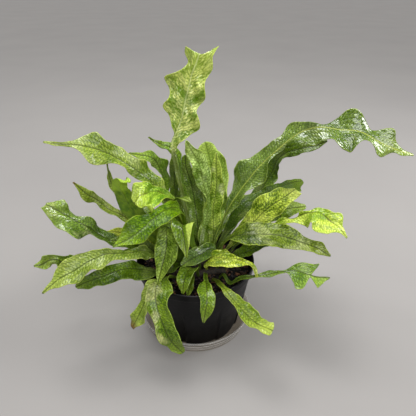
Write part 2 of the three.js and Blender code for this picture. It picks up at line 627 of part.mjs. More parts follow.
// The two half-widths at t. They widen by a square up to the lists' start. The first stretch is a bare stalk,
// whatever the lists say.
function halfWidths(frond, t, length) {
  const start = frond.start ?? 0;
  const grown = smooth(STEM.bareLength, STEM.bareLength + STEM.blendLength, t * length);
  return rowPair(frond.half).map((row) => {
    const listed = t < start
      ? THREE.MathUtils.lerp(STEM.halfWidth, row[0], (t / start) ** 2)
      : Math.max(along(row, (t - start) / (1 - start)), BLADE.leastHalfWidth);
    return THREE.MathUtils.lerp(STEM.halfWidth, listed, grown);
  });
}

// The midrib's point and the directions along it, across the blade and out of its face at t.
function frameAt(frond, curve, t) {
  const point = curve.getPointAt(t);
  const before = curve.getPointAt(Math.max(t - TANGENT_REACH, 0));
  const after = curve.getPointAt(Math.min(t + TANGENT_REACH, 1));
  const tangent = after.sub(before).normalize();
  const root = frond.route[0];
  const tip = frond.route[frond.route.length - 1];
  const rootToTip = THREE.MathUtils.radToDeg(Math.atan2(tip[1] - root[1], tip[0] - root[0]));
  const heading = THREE.MathUtils.degToRad(frond.heading ?? rootToTip);
  const level = new THREE.Vector3(Math.sin(heading), -Math.cos(heading), 0);
  const across = level.clone().addScaledVector(tangent, -level.dot(tangent)).normalize();
  const face = across.clone().cross(tangent);
  const roll = THREE.MathUtils.degToRad(along(frond.roll, t));
  const side = across.clone().multiplyScalar(Math.cos(roll)).addScaledVector(face, Math.sin(roll));
  const up = face.clone().multiplyScalar(Math.cos(roll)).addScaledVector(across, -Math.sin(roll));
  return { point, tangent, side, up };
}

// The blade's middle surface: u runs across from -1 to 1, t along from 0 to 1. The margins rise with the
// keel and the cup, wave in and out of the plane, and swell and narrow in lobes.
function bladePoint(frond, frame, widths, widest, u, t) {
  const [keel, cup] = frond.fold;
  const [count, depth, phase, lag] = frond.waves;
  const side = u > 0 ? 1 : 0;
  const out = Math.abs(u);
  const swell = Math.min(Math.max(...widths) / widest, 1) ** MARGIN.swellRise;
  const angle = 2 * Math.PI * (count * t + phase + side * lag);
  const width = widths[side] * (1 + frond.lobe * Math.cos(angle) * swell);
  const drawnIn = Math.sqrt(Math.max(1 - keel * keel, MARGIN.leastSpread));
  const rise = width * (keel * out + cup * u * u);
  const wave = depth * swell * Math.sin(angle) * out ** MARGIN.waveRise;
  const nearTip = THREE.MathUtils.clamp((t - MARGIN.cornerFrom) / (1 - MARGIN.cornerFrom), 0, 1);
  const corner = frond.end[side] * out ** MARGIN.cornerRise * nearTip ** 2;
  const slanted = (frond.slant ?? [0, 0])[side] * width * out;
  return frame.point.clone()
    .addScaledVector(frame.side, width * u * drawnIn)
    .addScaledVector(frame.up, rise + wave)
    .addScaledVector(frame.tangent, corner + slanted);
}

// The share of the midrib where station i lies. Stations are sparser before the half-width lists start.
function stationAt(i, steps, start) {
  const stalkSteps = Math.round(steps * start * BLADE.stalkShare);
  if (i < stalkSteps) return (start * i) / stalkSteps;
  return start + ((1 - start) * (i - stalkSteps)) / (steps - stalkSteps);
}

// A frond as a closed thin blade with a thicker midrib. Both faces are split along the same diagonals.
function frondGeometry(frond) {
  const curve = midribOf(frond);
  const length = curve.getLength();
  const widest = Math.max(...rowPair(frond.half).flat());
  const lengths = Math.round(length / BLADE.stationLength);
  const steps = frond.steps ?? THREE.MathUtils.clamp(lengths, BLADE.fewest, BLADE.most);
  const cells = widest < BLADE.narrow ? BLADE.fewCells : BLADE.cells;
  const upper = [];
  const lower = [];
  for (let i = 0; i <= steps; i += 1) {
    const t = stationAt(i, steps, frond.start ?? 0);
    const frame = frameAt(frond, curve, t);
    const widths = halfWidths(frond, t, length);
    const thinned = smooth(STEM.bareLength, 3 * STEM.bareLength, t * length);
    const rib = THREE.MathUtils.lerp(BLADE.stemRib, BLADE.rib, thinned);
    for (let j = 0; j <= cells; j += 1) {
      const u = (2 * j) / cells - 1;
      const middle = bladePoint(frond, frame, widths, widest, u, t);
      const thick = u === 0 ? rib : BLADE.edge;
      upper.push(middle.clone().addScaledVector(frame.up, thick));
      lower.push(middle.clone().addScaledVector(frame.up, -thick));
    }
  }
  const row = cells + 1;
  const under = upper.length;
  const index = [];
  const quad = (a, b, c, d) => index.push(a, b, c, a, c, d);
  for (let i = 0; i < steps; i += 1) {
    for (let j = 0; j < cells; j += 1) {
      const a = i * row + j;
      const b = a + 1;
      const c = a + row + 1;
      const d = a + row;
      quad(a, b, c, d);
      index.push(under + a, under + c, under + b, under + a, under + d, under + c);
    }
    const left = i * row;
    const right = left + cells;
    quad(left, left + row, under + left + row, under + left);
    quad(right, under + right, under + right + row, right + row);
  }
  for (let j = 0; j < cells; j += 1) {
    const tip = steps * row + j;
    quad(j, under + j, under + j + 1, j + 1);
    quad(tip, tip + 1, under + tip + 1, under + tip);
  }
  const places = [...upper, ...lower].flatMap((point) => point.toArray());
  const geometry = new THREE.BufferGeometry();
  geometry.setAttribute('position', new THREE.Float32BufferAttribute(places, 3));
  geometry.setIndex(index);
  return geometry;
}

// A round tube along points.
function tube(points, radius, sides, steps) {
  const outline = new THREE.Shape();
  for (let i = 0; i < sides; i += 1) {
    const angle = (2 * Math.PI * i) / sides;
    const [x, y] = [radius * Math.cos(angle), radius * Math.sin(angle)];
    if (i === 0) outline.moveTo(x, y);
    else outline.lineTo(x, y);
  }
  outline.closePath();
  const path = curveThrough(points);
  return new THREE.ExtrudeGeometry(outline, { extrudePath: path, steps, bevelEnabled: false });
}

// The clear hole that a stalk stands in, a straight tube along the frond's first stretch.
function stemHole(frond) {
  const curve = midribOf(frond);
  const low = curve.getPointAt(0);
  const high = curve.getPointAt(STEM.holeReach / curve.getLength());
  low.addScaledVector(high.clone().sub(low).normalize(), -STEM.holeDepth);
  return tube([low, high], STEM.holeRadius, STEM.holeSides, 1);
}

// The rods of the rootstock, thicker by extra where they clear a space in the soil.
function rootstock(extra) {
  const height = soilTop + ROOTSTOCK.radius - ROOTSTOCK.sink;
  const rods = ROOTSTOCK.runs.map((run) => {
    const points = run.map(([x, y]) => new THREE.Vector3(x, y, height));
    return solidOf(tube(points, ROOTSTOCK.radius + extra, ROOTSTOCK.sides, run.length - 1));
  });
  return rods.reduce((whole, rod) => whole.add(rod));
}

// Soil filling the pot, with an uneven top that is level along the wall.
function soilGeometry() {
  const low = potFloor + POT.floor + GAP;
  const inside = (z) => wallRadius(z) - POT.wall - GAP;
  const profile = [
    [0, low],
    [inside(low) - POT.fluteDepth - 1, low],
    [inside(POT.flutesEnd) - POT.fluteDepth, POT.flutesEnd - 2],
    [inside(POT.flutesEnd), POT.flutesEnd + 1],
    [inside(soilTop), soilTop - 1.5],
  ];
  for (let i = SOIL.rings; i >= 0; i -= 1) profile.push([(inside(soilTop) * i) / SOIL.rings, soilTop]);
  return moved(turned(profile, SOIL.sides), (p) => {
    if (p.z < soilTop - 1) return;
    const reach = 1 - smooth(SOIL.flatFrom, 1, Math.hypot(p.x, p.y) / inside(soilTop));
    const coarse = SOIL.bump * Math.sin(p.x / SOIL.waveX + SOIL.shift) * Math.cos(p.y / SOIL.waveY);
    const fine = SOIL.fineBump * Math.sin(p.x / SOIL.fineX - p.y / SOIL.fineY);
    p.z += reach * (coarse + fine);
  });
}

// Nursery pot: tapered wall with pinched flutes low down, a deep rim band, a foot ring and drain holes.
function potSolid() {
  const middle = POT.flutesEnd / 2;
  const floorTop = potFloor + POT.floor;
  const profile = [
    [0, potFloor],
    [POT.footRadius, potFloor],
    [POT.footRadius + POT.footSlope, potBase],
    [POT.baseRadius, potBase],
    [wallRadius(middle), middle],
    [wallRadius(POT.flutesEnd), POT.flutesEnd],
    [POT.shoulderRadius, bandLow - 1],
    [POT.rimRadius - 0.6, bandLow],
    [POT.rimRadius, potTop - 1],
    [POT.rimRadius - POT.rounding, potTop],
    [POT.rimRadius - POT.rimWall, potTop],
    [POT.shoulderRadius - POT.wall, bandLow - 1],
    [wallRadius(POT.flutesEnd) - POT.wall, POT.flutesEnd],
    [wallRadius(middle) - POT.wall, middle],
    [POT.baseRadius - POT.wall, floorTop],
    [0, floorTop],
  ];
  const shell = moved(turned(profile, POT.sides), (p) => {
    const radius = Math.hypot(p.x, p.y);
    if (radius <= POT.footRadius + 2 || p.z >= POT.flutesEnd - 1) return;
    const pinch = Math.max(Math.cos(POT.flutes * Math.atan2(p.y, p.x)), 0) * POT.fluteDepth;
    p.x *= 1 - pinch / radius;
    p.y *= 1 - pinch / radius;
  });
  const holes = Array.from({ length: POT.drainHoles }, (_, i) => {
    const angle = (2 * Math.PI * (i + 0.5)) / POT.drainHoles;
    const [x, y] = [POT.drainRing * Math.cos(angle), POT.drainRing * Math.sin(angle)];
    const hole = new THREE.CylinderGeometry(POT.drainRadius, POT.drainRadius, 3 * POT.floor, POT.drainSides);
    hole.rotateX(Math.PI / 2);
    hole.translate(x, y, potFloor + POT.floor / 2);
    return solidOf(hole);
  });
  return holes.reduce((pot, hole) => pot.subtract(hole), solidOf(shell));
}

// Saucer: flat floor, a low step in the wall, a sloping wall and a turned-out lip.
function saucerGeometry() {
  const { rimRadius, baseRadius, height, wall, lip, stepHeight, stepOut, lipHeight, lipDrop } = SAUCER;
  const slope = rimRadius - lip;
  return turned([
    [0, 0],
    [baseRadius, 0],
    [baseRadius + stepOut, stepHeight],
    [baseRadius + 2 * stepOut, stepHeight + 1],
    [slope, height - lipHeight],
    [rimRadius, height - lipDrop],
    [rimRadius, height],
    [slope - 0.6, height],
    [slope - wall, height - 1.6],
    [baseRadius + 1, stepHeight + 1.6],
    [baseRadius - 0.4, stepHeight + 0.4],
    [baseRadius - 1.8, wall + 0.6],
    [baseRadius - 3, wall],
    [0, wall],
  ], SAUCER.sides);
}

// The main body of a cut solid, without loose scraps or needless small faces.
const mainBody = (solid) => solid.simplify(FINEST).decompose().sort((a, b) => b.volume() - a.volume())[0];

const stemHoles = FRONDS.map((frond) => solidOf(stemHole(frond)));
const allHoles = stemHoles.reduce((whole, hole) => whole.add(hole));
const soilSolid = solidOf(soilGeometry()).subtract(rootstock(ROOTSTOCK.clearance)).subtract(allHoles);
const rootstockSolid = rootstock(0).subtract(allHoles);

const group = new THREE.Group();

function add(name, geometry, { color, roughness }) {
  const material = new THREE.MeshStandardMaterial({ color, roughness, metalness: 0 });
  const mesh = new THREE.Mesh(geometry, material);
  mesh.name = name;
  group.add(mesh);
}

add('saucer', saucerGeometry(), CLEAR_PLASTIC);
add('pot', geometryOf(potSolid()), BLACK_PLASTIC);
add('potting_mix', geometryOf(mainBody(soilSolid)), DARK_SOIL);
add('rootstock', geometryOf(mainBody(rootstockSolid)), ROOT_BROWN);
for (const frond of FRONDS) {
  add(frond.name, frondGeometry(frond), { color: LEAF_COLOURS[frond.tone], roughness: LEAF_ROUGHNESS });
}

export default group;
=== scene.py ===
"""Looks of a potted crocodile fern: fine fronds, pot, saucer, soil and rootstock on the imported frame.

Shapes are worked out in millimetres with the formulas of the part's own solids, and go into the meshes in
metres.
"""

import math

import bpy
import numpy as np
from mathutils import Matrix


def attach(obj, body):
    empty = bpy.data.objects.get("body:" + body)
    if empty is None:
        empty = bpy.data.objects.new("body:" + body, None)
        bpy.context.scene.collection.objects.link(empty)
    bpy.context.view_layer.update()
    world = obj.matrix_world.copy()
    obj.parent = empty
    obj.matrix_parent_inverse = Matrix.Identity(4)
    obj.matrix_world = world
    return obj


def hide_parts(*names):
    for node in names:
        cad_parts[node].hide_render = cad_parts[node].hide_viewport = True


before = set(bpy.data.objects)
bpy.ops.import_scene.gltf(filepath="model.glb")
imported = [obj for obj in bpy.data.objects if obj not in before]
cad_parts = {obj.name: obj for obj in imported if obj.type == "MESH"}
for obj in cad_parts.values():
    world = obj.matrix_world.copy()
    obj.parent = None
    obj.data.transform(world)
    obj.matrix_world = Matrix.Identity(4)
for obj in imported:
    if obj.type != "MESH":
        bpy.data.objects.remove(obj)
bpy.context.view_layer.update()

MM = 0.001

# Sizes that repeat the part's own

GAP = 0.3
SAUCER = dict(
    rim=74, base=67, height=19, wall=1.4, lip=2.2, step=6, step_out=1.2, lip_height=2.4, lip_drop=1.4,
)
POT = dict(
    rim=75.5, rim_height=9, rim_wall=1.8, shoulder=72.5, base=57, height=96, wall=1.4, floor=1.6,
    foot_height=2.5, foot=50, flutes=9, flute_depth=2.2, flutes_end=58, holes=8, hole=4.5, hole_ring=40,
)
SOIL = dict(
    below=15, bump=1.1, bump_lengths=(5.3, 4.7), fine_bump=0.66, fine_lengths=(2.9, 3.3), flat_from=0.8,
)
ROOTSTOCK = dict(radius=5, sink=2.8)
ROOTSTOCK_RUNS = [
    [(-15, 34), (-4, 33), (8, 35), (20, 32), (29, 26)],
    [(-31, 18), (-19, 14), (-9, 16), (0, 18), (9, 16), (20, 16), (31, 11)],
    [(-33, -3), (-18, 0), (-9, -1), (0, 0), (9, 3), (19, 3), (31, 2), (41, -4)],
    [(-31, -21), (-16, -16), (-7, -17), (5, -18), (16, -14), (27, -11), (39, -13)],
    [(8, 35), (6, 26), (9, 16)],
    [(0, 18), (1, 9), (0, 0), (2, -10), (5, -18)],
]
STALK = dict(half=2.2, bare=16, blend=26)
MARGIN = dict(wave_rise=1.6, swell_rise=0.7, corner_rise=1.5, corner_from=0.8, least_spread=0.2)
LEAST_HALF = 0.8
LEAST_START = 0.01
TANGENT_REACH = 0.012

POT_BASE = SAUCER["wall"] + GAP
POT_FLOOR = POT_BASE + POT["foot_height"]
POT_TOP = POT_BASE + POT["height"]
BAND_LOW = POT_TOP - POT["rim_height"]
SOIL_TOP = POT_TOP - SOIL["below"]


def frond(name, tone, route, half, roll, fold=(0.2, 0.1), waves=(3, 2, 0.2, 0.5), lobe=0.1, end=(0, 0),
          **rest):
    """One frond's row: midrib, half-widths, roll in degrees, keel and cup, waves, lobes and tip corners.

    The rest is its heading in degrees, the share at which its own half-widths start, and its margins' slant.
    """
    return dict(name=name, tone=tone, route=route, half=half, roll=roll, fold=fold, waves=waves, lobe=lobe,
                end=end, **rest)


FRONDS = [
    frond("top", "lime",
          [(-2, 8, 76), (-6, 12, 128), (-16, 19, 180), (-24, 26, 220), (-26, 30, 240), (-20, 33, 257),
          (-14, 35, 271), (-11, 37, 285), (-6, 39, 304), (-2, 40, 319), (3, 40, 331), (7, 40, 341)],
          ([2, 2, 1.5, 2, 9, 16, 19, 22, 21, 22, 24, 25, 15, 9, 14, 16],
          [4, 6, 9, 15, 19, 21, 19, 17, 18, 19, 19, 19, 19, 17, 14, 18]), [0, 0, 0, 0], fold=(0.12, 0.1),
          waves=(9, 5, 0.1, 0.35), lobe=0.02, end=(3, 16), heading=90, start=0.58),
    frond("left_high", "pale",
          [(-12, 7, 76), (-20, 7, 130), (-34, 8, 176), (-46, 7, 197), (-60, 4, 213), (-79, -2, 231),
          (-95, -5, 243), (-111, -9, 251), (-127, -13, 256), (-147, -16, 258), (-159, -18, 261)],
          ([6, 9, 10, 9, 8, 8, 8, 9, 13, 19, 20, 10, 4, 2, 2, 1],
          [7, 12, 13, 14, 14, 11, 14, 14, 12, 13, 17, 12, 5, 2, 2, 1.5]), [0, 20, 40, 45, 40],
          fold=(0.15, 0), waves=(6, 5, 0.2, 0.4), lobe=0.02, start=0.44),
    frond("left_mid", "green",
          [(-9, 15, 76), (-14, 21, 140), (-37, 28, 172), (-40, 31, 198), (-46, 31, 216), (-53, 28, 225),
          (-66, 25, 229), (-77, 21, 233)],
          ([3, 3, 3, 4, 5, 6, 8, 8, 8, 5, 1], [5, 9, 12, 13, 13, 13, 6, 9, 4, 3, 1]), [0, 20, 40],
          fold=(0.15, 0), waves=(4, 2, 0.5, 0.5), lobe=0, start=0.55),
    frond("small_left", "green",
          [(-1, 18, 76), (-9, 26, 140), (-18, 32, 189), (-20, 35, 217), (-28, 34, 234), (-39, 33, 239),
          (-48, 30, 245), (-53, 26, 251)],
          [2.2, 2.2, 3, 5, 6, 6, 5, 0.8], [0, 20, 35], fold=(0.15, 0), heading=170),
    frond("reddish", "green",
          [(-8, 24, 76), (-17, 30, 122), (-25, 37, 162), (-26, 40, 182), (-26, 41, 206), (-25, 42, 229)],
          [2.2, 2.4, 4, 9, 8, 7, 6, 2], [0, 30, 30], fold=(0.4, 0), waves=(2, 2, 0.2, 0.5), heading=100),
    frond("centre_broad", "green",
          [(9, 16, 76), (14, 20, 108), (24, 28, 145), (25, 34, 178), (22, 40, 204), (17, 44, 222),
          (13, 46, 238)],
          ([2.4, 11, 14, 14, 15, 17, 19, 20, 12], [2.4, 9, 12, 13, 15, 17, 19, 18, 10]), [0, 0, 0],
          waves=(4, 5, 0.4, 0.4), lobe=0.04, heading=85),
    frond("centre_wavy", "mottled",
          [(6, 6, 76), (8, 6, 120), (15, 8, 156), (16, 9, 177), (11, 9, 197), (8, 8, 215), (4, 7, 230),
          (-3, 6, 243), (-8, 4, 254)],
          ([3, 4, 5, 3, 2, 4, 8, 10, 11, 9, 9, 7, 3], [3, 4, 5, 4, 3, 6, 9, 10, 12, 12, 9, 5, 2]),
          [0, -10, -20], fold=(0.2, 0), waves=(4, 5, 0, 0.5), lobe=0, heading=90, start=0.35),
    frond("bright_tip", "lime",
          [(14, 9, 76), (23, 15, 118), (23, 17, 141), (23, 19, 161), (26, 21, 181), (27, 21, 201),
          (26, 22, 216), (26, 22, 233)],
          ([6, 10, 11, 11, 11, 9, 7, 6, 6, 6, 4, 1], [6, 9, 10, 10, 9, 11, 11, 9, 7, 7, 4, 1]),
          [0, 0, 0], fold=(0.2, 0), waves=(4, 4, 0.4, 0.5), lobe=0, heading=85, start=0.3),
    frond("dark_centre", "dark",
          [(0, 26, 76), (3, 31, 116), (-1, 44, 152), (-6, 52, 179), (-12, 56, 200), (-13, 58, 216)],
          ([2.2, 4, 9, 14, 14, 12, 8, 5], [2.2, 4, 9, 13, 14, 12, 8, 5]), [0, 0, 0], fold=(0.2, 0),
          waves=(3, 3, 0.2, 0.5), lobe=0.05, heading=95),
    frond("right_long", "green",
          [(19, 3, 76), (24, 5, 118), (34, 10, 145), (45, 12, 170), (62, 15, 197), (80, 16, 221),
          (96, 16, 238), (112, 15, 254), (126, 14, 263), (141, 10, 268), (162, 4, 267), (182, -2, 267),
          (201, -8, 258), (220, -12, 250), (241, -13, 244)],
          ([4, 6, 11, 19, 23, 23, 18, 17, 12, 11, 12, 17, 10, 5, 5, 15, 21, 20, 10, 14, 19, 11, 4, 1],
          [8, 9, 11, 13, 14, 17, 18, 10, 4, 3, 3, 8, 18, 21, 17, 16, 25, 23, 9, 11, 15, 4, 5, 1]),
          [0, -20, -40, -45, -45, -50], fold=(0.12, 0), waves=(8, 6, 0, 0.4), lobe=0, start=0.25),
    frond("right_back", "dark",
          [(17, 24, 76), (35, 40, 93), (56, 58, 116), (81, 72, 145), (102, 83, 176), (110, 80, 200),
          (118, 72, 213), (134, 64, 222), (151, 58, 228), (165, 55, 236)],
          ([6, 9, 12, 14, 16, 16, 16, 15, 14, 12, 7, 1], [6, 11, 12, 13, 13, 9, 7, 6, 8, 8, 6, 1]),
          [0, -20, -40], fold=(0.15, 0), waves=(5, 3, 0.3, 0.4), lobe=0, start=0.35),
    frond("right_mottled", "lime",
          [(26, 10, 76), (40, 13, 100), (52, 16, 114), (64, 18, 126), (76, 20, 140), (93, 24, 158),
          (109, 26, 169), (126, 28, 182)],
          ([5, 10, 13, 15, 17, 18, 17, 16, 13, 3], [5, 9, 12, 14, 15, 17, 17, 15, 12, 9]), [0, -30, -40],
          fold=(0.15, 0), waves=(3, 3, 0.1, 0.5), lobe=0, end=(0, 3), start=0.3),
    frond("right_round", "dark",
          [(20, 16, 76), (36, 30, 109), (65, 44, 146), (89, 56, 155), (106, 62, 164), (127, 70, 170),
          (146, 78, 170)],
          ([8, 12, 14, 12, 9, 7, 7, 4], [6, 9, 12, 17, 22, 25, 22, 8]), [0, -20, -20], fold=(0.15, 0),
          waves=(3, 3, 0.1, 0.5), lobe=0, start=0.35),
    frond("right_mid", "green",
          [(31, 2, 76), (51, 16, 103), (77, 26, 129), (107, 29, 150), (144, 36, 153)],
          [2.2, 4, 6, 9, 11, 12, 4], [0, 0, -30, -40], fold=(0.15, 0), waves=(3, 3, 0.1, 0.5)),
    frond("right_yellow", "lime",
          [(36, -4, 76), (55, -2, 107), (86, -1, 139), (106, -9, 159), (116, -14, 164), (124, -18, 170),
          (131, -23, 177), (138, -27, 181), (145, -32, 180), (152, -39, 177), (160, -45, 172),
          (170, -53, 162)],
          ([2, 2, 2, 1, 1, 2, 3, 7, 8, 8, 14, 10, 5, 1],
          [4, 6, 8, 9, 11, 14, 19, 20, 20, 21, 20, 16, 5, 1]), [0, 0, -30, -30], fold=(0.15, 0),
          waves=(6, 5, 0.1, 0.4), lobe=0, start=0.5),
    frond("right_low", "mottled",
          [(27, -10, 76), (31, -12, 110), (36, -15, 130), (49, -17, 141), (66, -24, 148), (80, -26, 150),
          (95, -28, 150), (109, -32, 149), (123, -37, 146), (140, -42, 142), (157, -48, 134)],
          ([5, 9, 11, 15, 16, 17, 15, 12, 10, 8, 8, 1], [3, 6, 11, 14, 18, 19, 18, 15, 11, 10, 7, 1]),
          [0, -10, -30, -30], fold=(0.2, 0), waves=(4, 4, 0.4, 0.4), lobe=0, start=0.25),
    frond("right_under", "dark",
          [(35, -13, 76), (45, -8, 101), (65, -12, 115), (80, -14, 125), (99, -15, 134),
          (116, -14, 137)],
          ([2.2, 3, 7, 9, 8, 5, 1], [2.2, 3, 6, 7, 7, 4, 1]), [0, -20, -30], fold=(0.2, 0),
          waves=(2, 2, 0.4, 0.5), lobe=0),
    frond("yellow_front", "lime",
          [(16, -14, 76), (15, -15, 98), (20, -20, 110), (30, -27, 116), (40, -34, 121), (54, -42, 124),
          (65, -48, 122), (70, -52, 118), (73, -57, 110)],
          ([5, 8, 11, 13, 8, 3, 2, 4, 3, 1], [12, 18, 22, 22, 18, 15, 11, 2, 2, 1]), [0, -20, -20],
          fold=(0.3, 0), waves=(3, 3, 0.2, 0.5), lobe=0, start=0.25),
    frond("right_crested", "green",
          [(29, -18, 76), (35, -28, 92), (43, -41, 90), (55, -45, 100), (68, -48, 105), (83, -51, 110),
          (94, -53, 114), (105, -56, 118), (116, -58, 121), (128, -61, 119), (139, -63, 116),
          (154, -66, 117)],
          ([3, 3, 3, 2.5, 2, 1.5, 2, 3, 4, 4, 3, 3, 2, 2, 4, 7, 10, 12, 13, 14.5, 1.5, 1, 1, 1, 1, 0.8],
          [4, 4, 4, 4, 4, 3, 3, 3, 4, 5, 5, 4, 3, 2, 2.5, 12, 17, 21, 22, 18, 3, 6, 12, 12, 7, 1]),
          [0, -20, -40], fold=(0.15, 0), waves=(4, 2, 0.2, 0.5), lobe=0, start=0.3, slant=(0.75, 0)),
    frond("front_right", "pale",
          [(22, -24, 76), (23, -32, 88), (28, -46, 95), (36, -65, 99), (44, -79, 97), (52, -89, 93),
          (59, -95, 89), (67, -101, 84), (75, -105, 82), (86, -110, 79)],
          ([2.2, 3, 3, 4, 5, 8, 10, 12, 11, 10, 9, 9], [2.2, 3, 4, 4, 5, 4.5, 6, 8, 10, 10, 9, 8]),
          [0, 0, 0], fold=(0.2, 0), waves=(4, 2, 0.2, 0.5), lobe=0, end=(1, 1), start=0.15),
    frond("front_centre", "green",
          [(12, -22, 76), (13, -34, 98), (14, -54, 103), (15, -73, 103), (15, -85, 97), (13, -89, 86),
          (11, -90, 72)],
          ([2.5, 3, 5, 7, 9, 9, 9, 8, 6, 3, 1], [3, 8, 10, 11, 10, 8, 7, 6, 4, 3, 1]), [0, 0, 0],
          waves=(2, 2, 0.2, 0.5), lobe=0, start=0.45),
    frond("front_small", "green",
          [(5, -18, 76), (2, -28, 98), (-5, -40, 109), (-11, -57, 108), (-13, -66, 93)],
          [2.2, 5, 9, 10, 8, 2], [0, 0, 0], waves=(2, 2, 0.2, 0.5), lobe=0.08),
    frond("front_little", "green",
          [(-2, -24, 76), (-3, -29, 92), (-4, -42, 93), (-6, -52, 89), (-8, -62, 85)],
          [2.2, 4, 5, 5, 1], [0, 0, 0], waves=(2, 1, 0.2, 0.5)),
    frond("hang_left", "green",
          [(-13, -8, 76), (-18, -12, 128), (-26, -20, 152), (-32, -28, 158), (-31, -37, 150),
          (-32, -46, 140), (-36, -56, 126), (-41, -68, 108)],
          ([2.5, 4, 8, 13, 15, 15, 11, 8, 5, 1], [3, 7, 10, 12, 12, 11, 9, 6, 4, 1]), [0, 10, 10],
          fold=(0.15, 0.1), waves=(2, 2, 0.2, 0.5), lobe=0, start=0.5),
    frond("hang_centre", "lime",
          [(5, -8, 76), (4, -9, 100), (-8, -15, 134), (-12, -24, 158), (-13, -35, 165), (-10, -47, 151),
          (-8, -55, 137)],
          ([2.2, 3, 5, 7, 11, 16, 9, 1.5], [2.2, 3, 5, 8, 12, 14, 9, 1.5]), [0, 0, 0], fold=(0.5, 0),
          waves=(2, 2, 0.2, 0.5), lobe=0.05),
    frond("broad_left", "bright",
          [(-9, -1, 76), (-12, -2, 140), (-16, -10, 172), (-23, -20, 182), (-31, -32, 186),
          (-40, -42, 184), (-50, -52, 179), (-61, -62, 173), (-72, -69, 169), (-84, -76, 166)],
          ([5, 8, 11, 15, 17, 14, 12, 12, 10, 6, 1], [4, 7, 9, 9, 8, 10, 14, 16, 16, 9, 1]),
          [0, 12, 24, 24], fold=(0.15, 0), waves=(3, 3, 0.2, 0.5), lobe=0, start=0.45),
    frond("bright", "lime",
          [(0, 0, 76), (1, 2, 98), (-9, 5, 130), (-21, 9, 159), (-25, 8, 177), (-37, 2, 190),
          (-50, -10, 197.5), (-59, -22, 199), (-66, -30, 194)],
          ([3, 4, 5, 12, 20, 25, 25, 25, 17], [4, 5, 6, 8, 7, 8, 12, 17, 9]), [0, 5, 23, 32],
          fold=(0.2, 0), waves=(3, 3, 0.2, 0.5), lobe=0, start=0.5, slant=(0.55, 0)),
    frond("small_tip", "green",
          [(-4, -8, 76), (-23, -5, 131), (-28, -2, 163), (-26, -1, 179), (-18, -8, 188), (-10, -17, 192),
          (-2, -27, 193)],
          ([2.2, 3, 5, 6, 5, 3, 1], [2.2, 3, 4, 5, 5, 3, 1]), [0, 0, 0], fold=(0.15, 0),
          waves=(2, 1, 0.2, 0.5), lobe=0, heading=300, start=0.78),
    frond("left_curled_back", "dark",
          [(-17, 0, 76), (-53, 0, 137), (-69, -2, 161), (-78, -4, 180), (-82, -8, 196), (-84, -12, 207),
          (-79, -17, 215), (-70, -22, 216)],
          ([2.2, 3, 8, 10, 10, 10, 9, 4], [2.2, 5, 11, 14, 16, 16, 11, 4]), [0, 0, 0], fold=(0.15, 0),
          waves=(2, 2, 0.2, 0.5), lobe=0, heading=262),
    frond("left_narrow", "pale",
          [(-18, 14, 76), (-46, 14, 124), (-82, 19, 164), (-100, 22, 187), (-104, 22, 204),
          (-104, 20, 222)],
          [2.2, 2.4, 3, 5, 6, 5, 1], [0, 20, 20], fold=(0.15, 0), waves=(2, 1, 0.2, 0.5), lobe=0.08),
    frond("left_yellow", "lime",
          [(-22, 7, 76), (-42, 9, 110), (-66, 12, 136), (-86, 13, 149), (-96, 13, 156), (-105, 12, 161),
          (-113, 11, 169), (-120, 9, 178), (-128, 5, 186), (-133, 3, 193), (-141, 0, 205)],
          ([3, 4, 6, 6, 6, 7, 5, 9, 6, 1], [3, 4, 5, 5, 6, 7, 5, 6, 4, 1]), [0, 30, 35], fold=(0.15, 0),
          lobe=0, start=0.4),
    frond("left_wide", "mottled",
          [(-21, -7, 76), (-43, -5, 106), (-67, -12, 124), (-85, -17, 130), (-98, -20, 136),
          (-108, -24, 145), (-116, -26, 153), (-121, -29, 161), (-131, -34, 171), (-144, -39, 185),
          (-150, -42, 192), (-159, -45, 200)],
          ([4, 5, 6, 6, 5, 8, 6, 13, 20, 23, 21, 15, 12, 8],
          [4, 5, 6, 8, 9, 10, 9, 10, 9, 9, 8, 10, 14, 4]), [0, 30, 40], fold=(0.15, 0),
          waves=(5, 5, 0.2, 0.45), lobe=0, end=(4, 0), start=0.4),
    frond("left_little", "lime",
          [(-27, 0, 76), (-46, 3, 103), (-74, 4, 123), (-95, 0, 136), (-109, -8, 142)],
          [2.2, 3, 6, 7, 6, 1], [0, 30, 30], fold=(0.15, 0), waves=(3, 3, 0.2, 0.5)),
    frond("left_under", "dark",
          [(-30, -8, 76), (-52, -20, 123), (-70, -24, 132), (-85, -30, 143), (-98, -34, 146)],
          ([2.2, 4, 7, 9, 8, 3], [2.2, 5, 8, 10, 8, 3]), [0, 30, 30], fold=(0.15, 0),
          waves=(2, 1, 0.2, 0.5), lobe=0.05),
    frond("left_low", "pale",
          [(-24, -15, 76), (-38, -22, 110), (-59, -36, 133), (-74, -45, 136), (-86, -51, 140),
          (-99, -57, 143), (-115, -64, 139), (-130, -73, 133), (-145, -80, 127), (-155, -86, 121),
          (-163, -90, 115)],
          ([6, 9, 12, 12, 11, 8, 9, 14, 16, 12, 12, 14, 12, 10, 4, 1],
          [3, 4, 5, 5, 5, 5, 5, 6, 11, 14, 14, 15, 13, 7, 4, 1]), [0, 30, 30], fold=(0.15, 0),
          waves=(4.5, 4, 0.2, 0.4), lobe=0, start=0.28),
    frond("left_dark", "dark",
          [(-27, -23, 76), (-44, -28, 93), (-60, -36, 105), (-76, -44, 113), (-88, -50, 115),
          (-102, -58, 114), (-117, -68, 114), (-131, -77, 113)],
          ([5, 12, 15, 15, 14, 13, 11, 10, 10, 3], [4, 7, 7, 8, 9, 11, 8, 9, 8, 3]), [0, 30, 30],
          fold=(0.15, 0), waves=(3.5, 4, 0.2, 0.4), lobe=0, start=0.2),
    frond("left_curl", "green",
          [(-26, 15, 76), (-50, 16, 96), (-76, 10, 104), (-100, 2, 99), (-122, -3, 99), (-144, -7, 96),
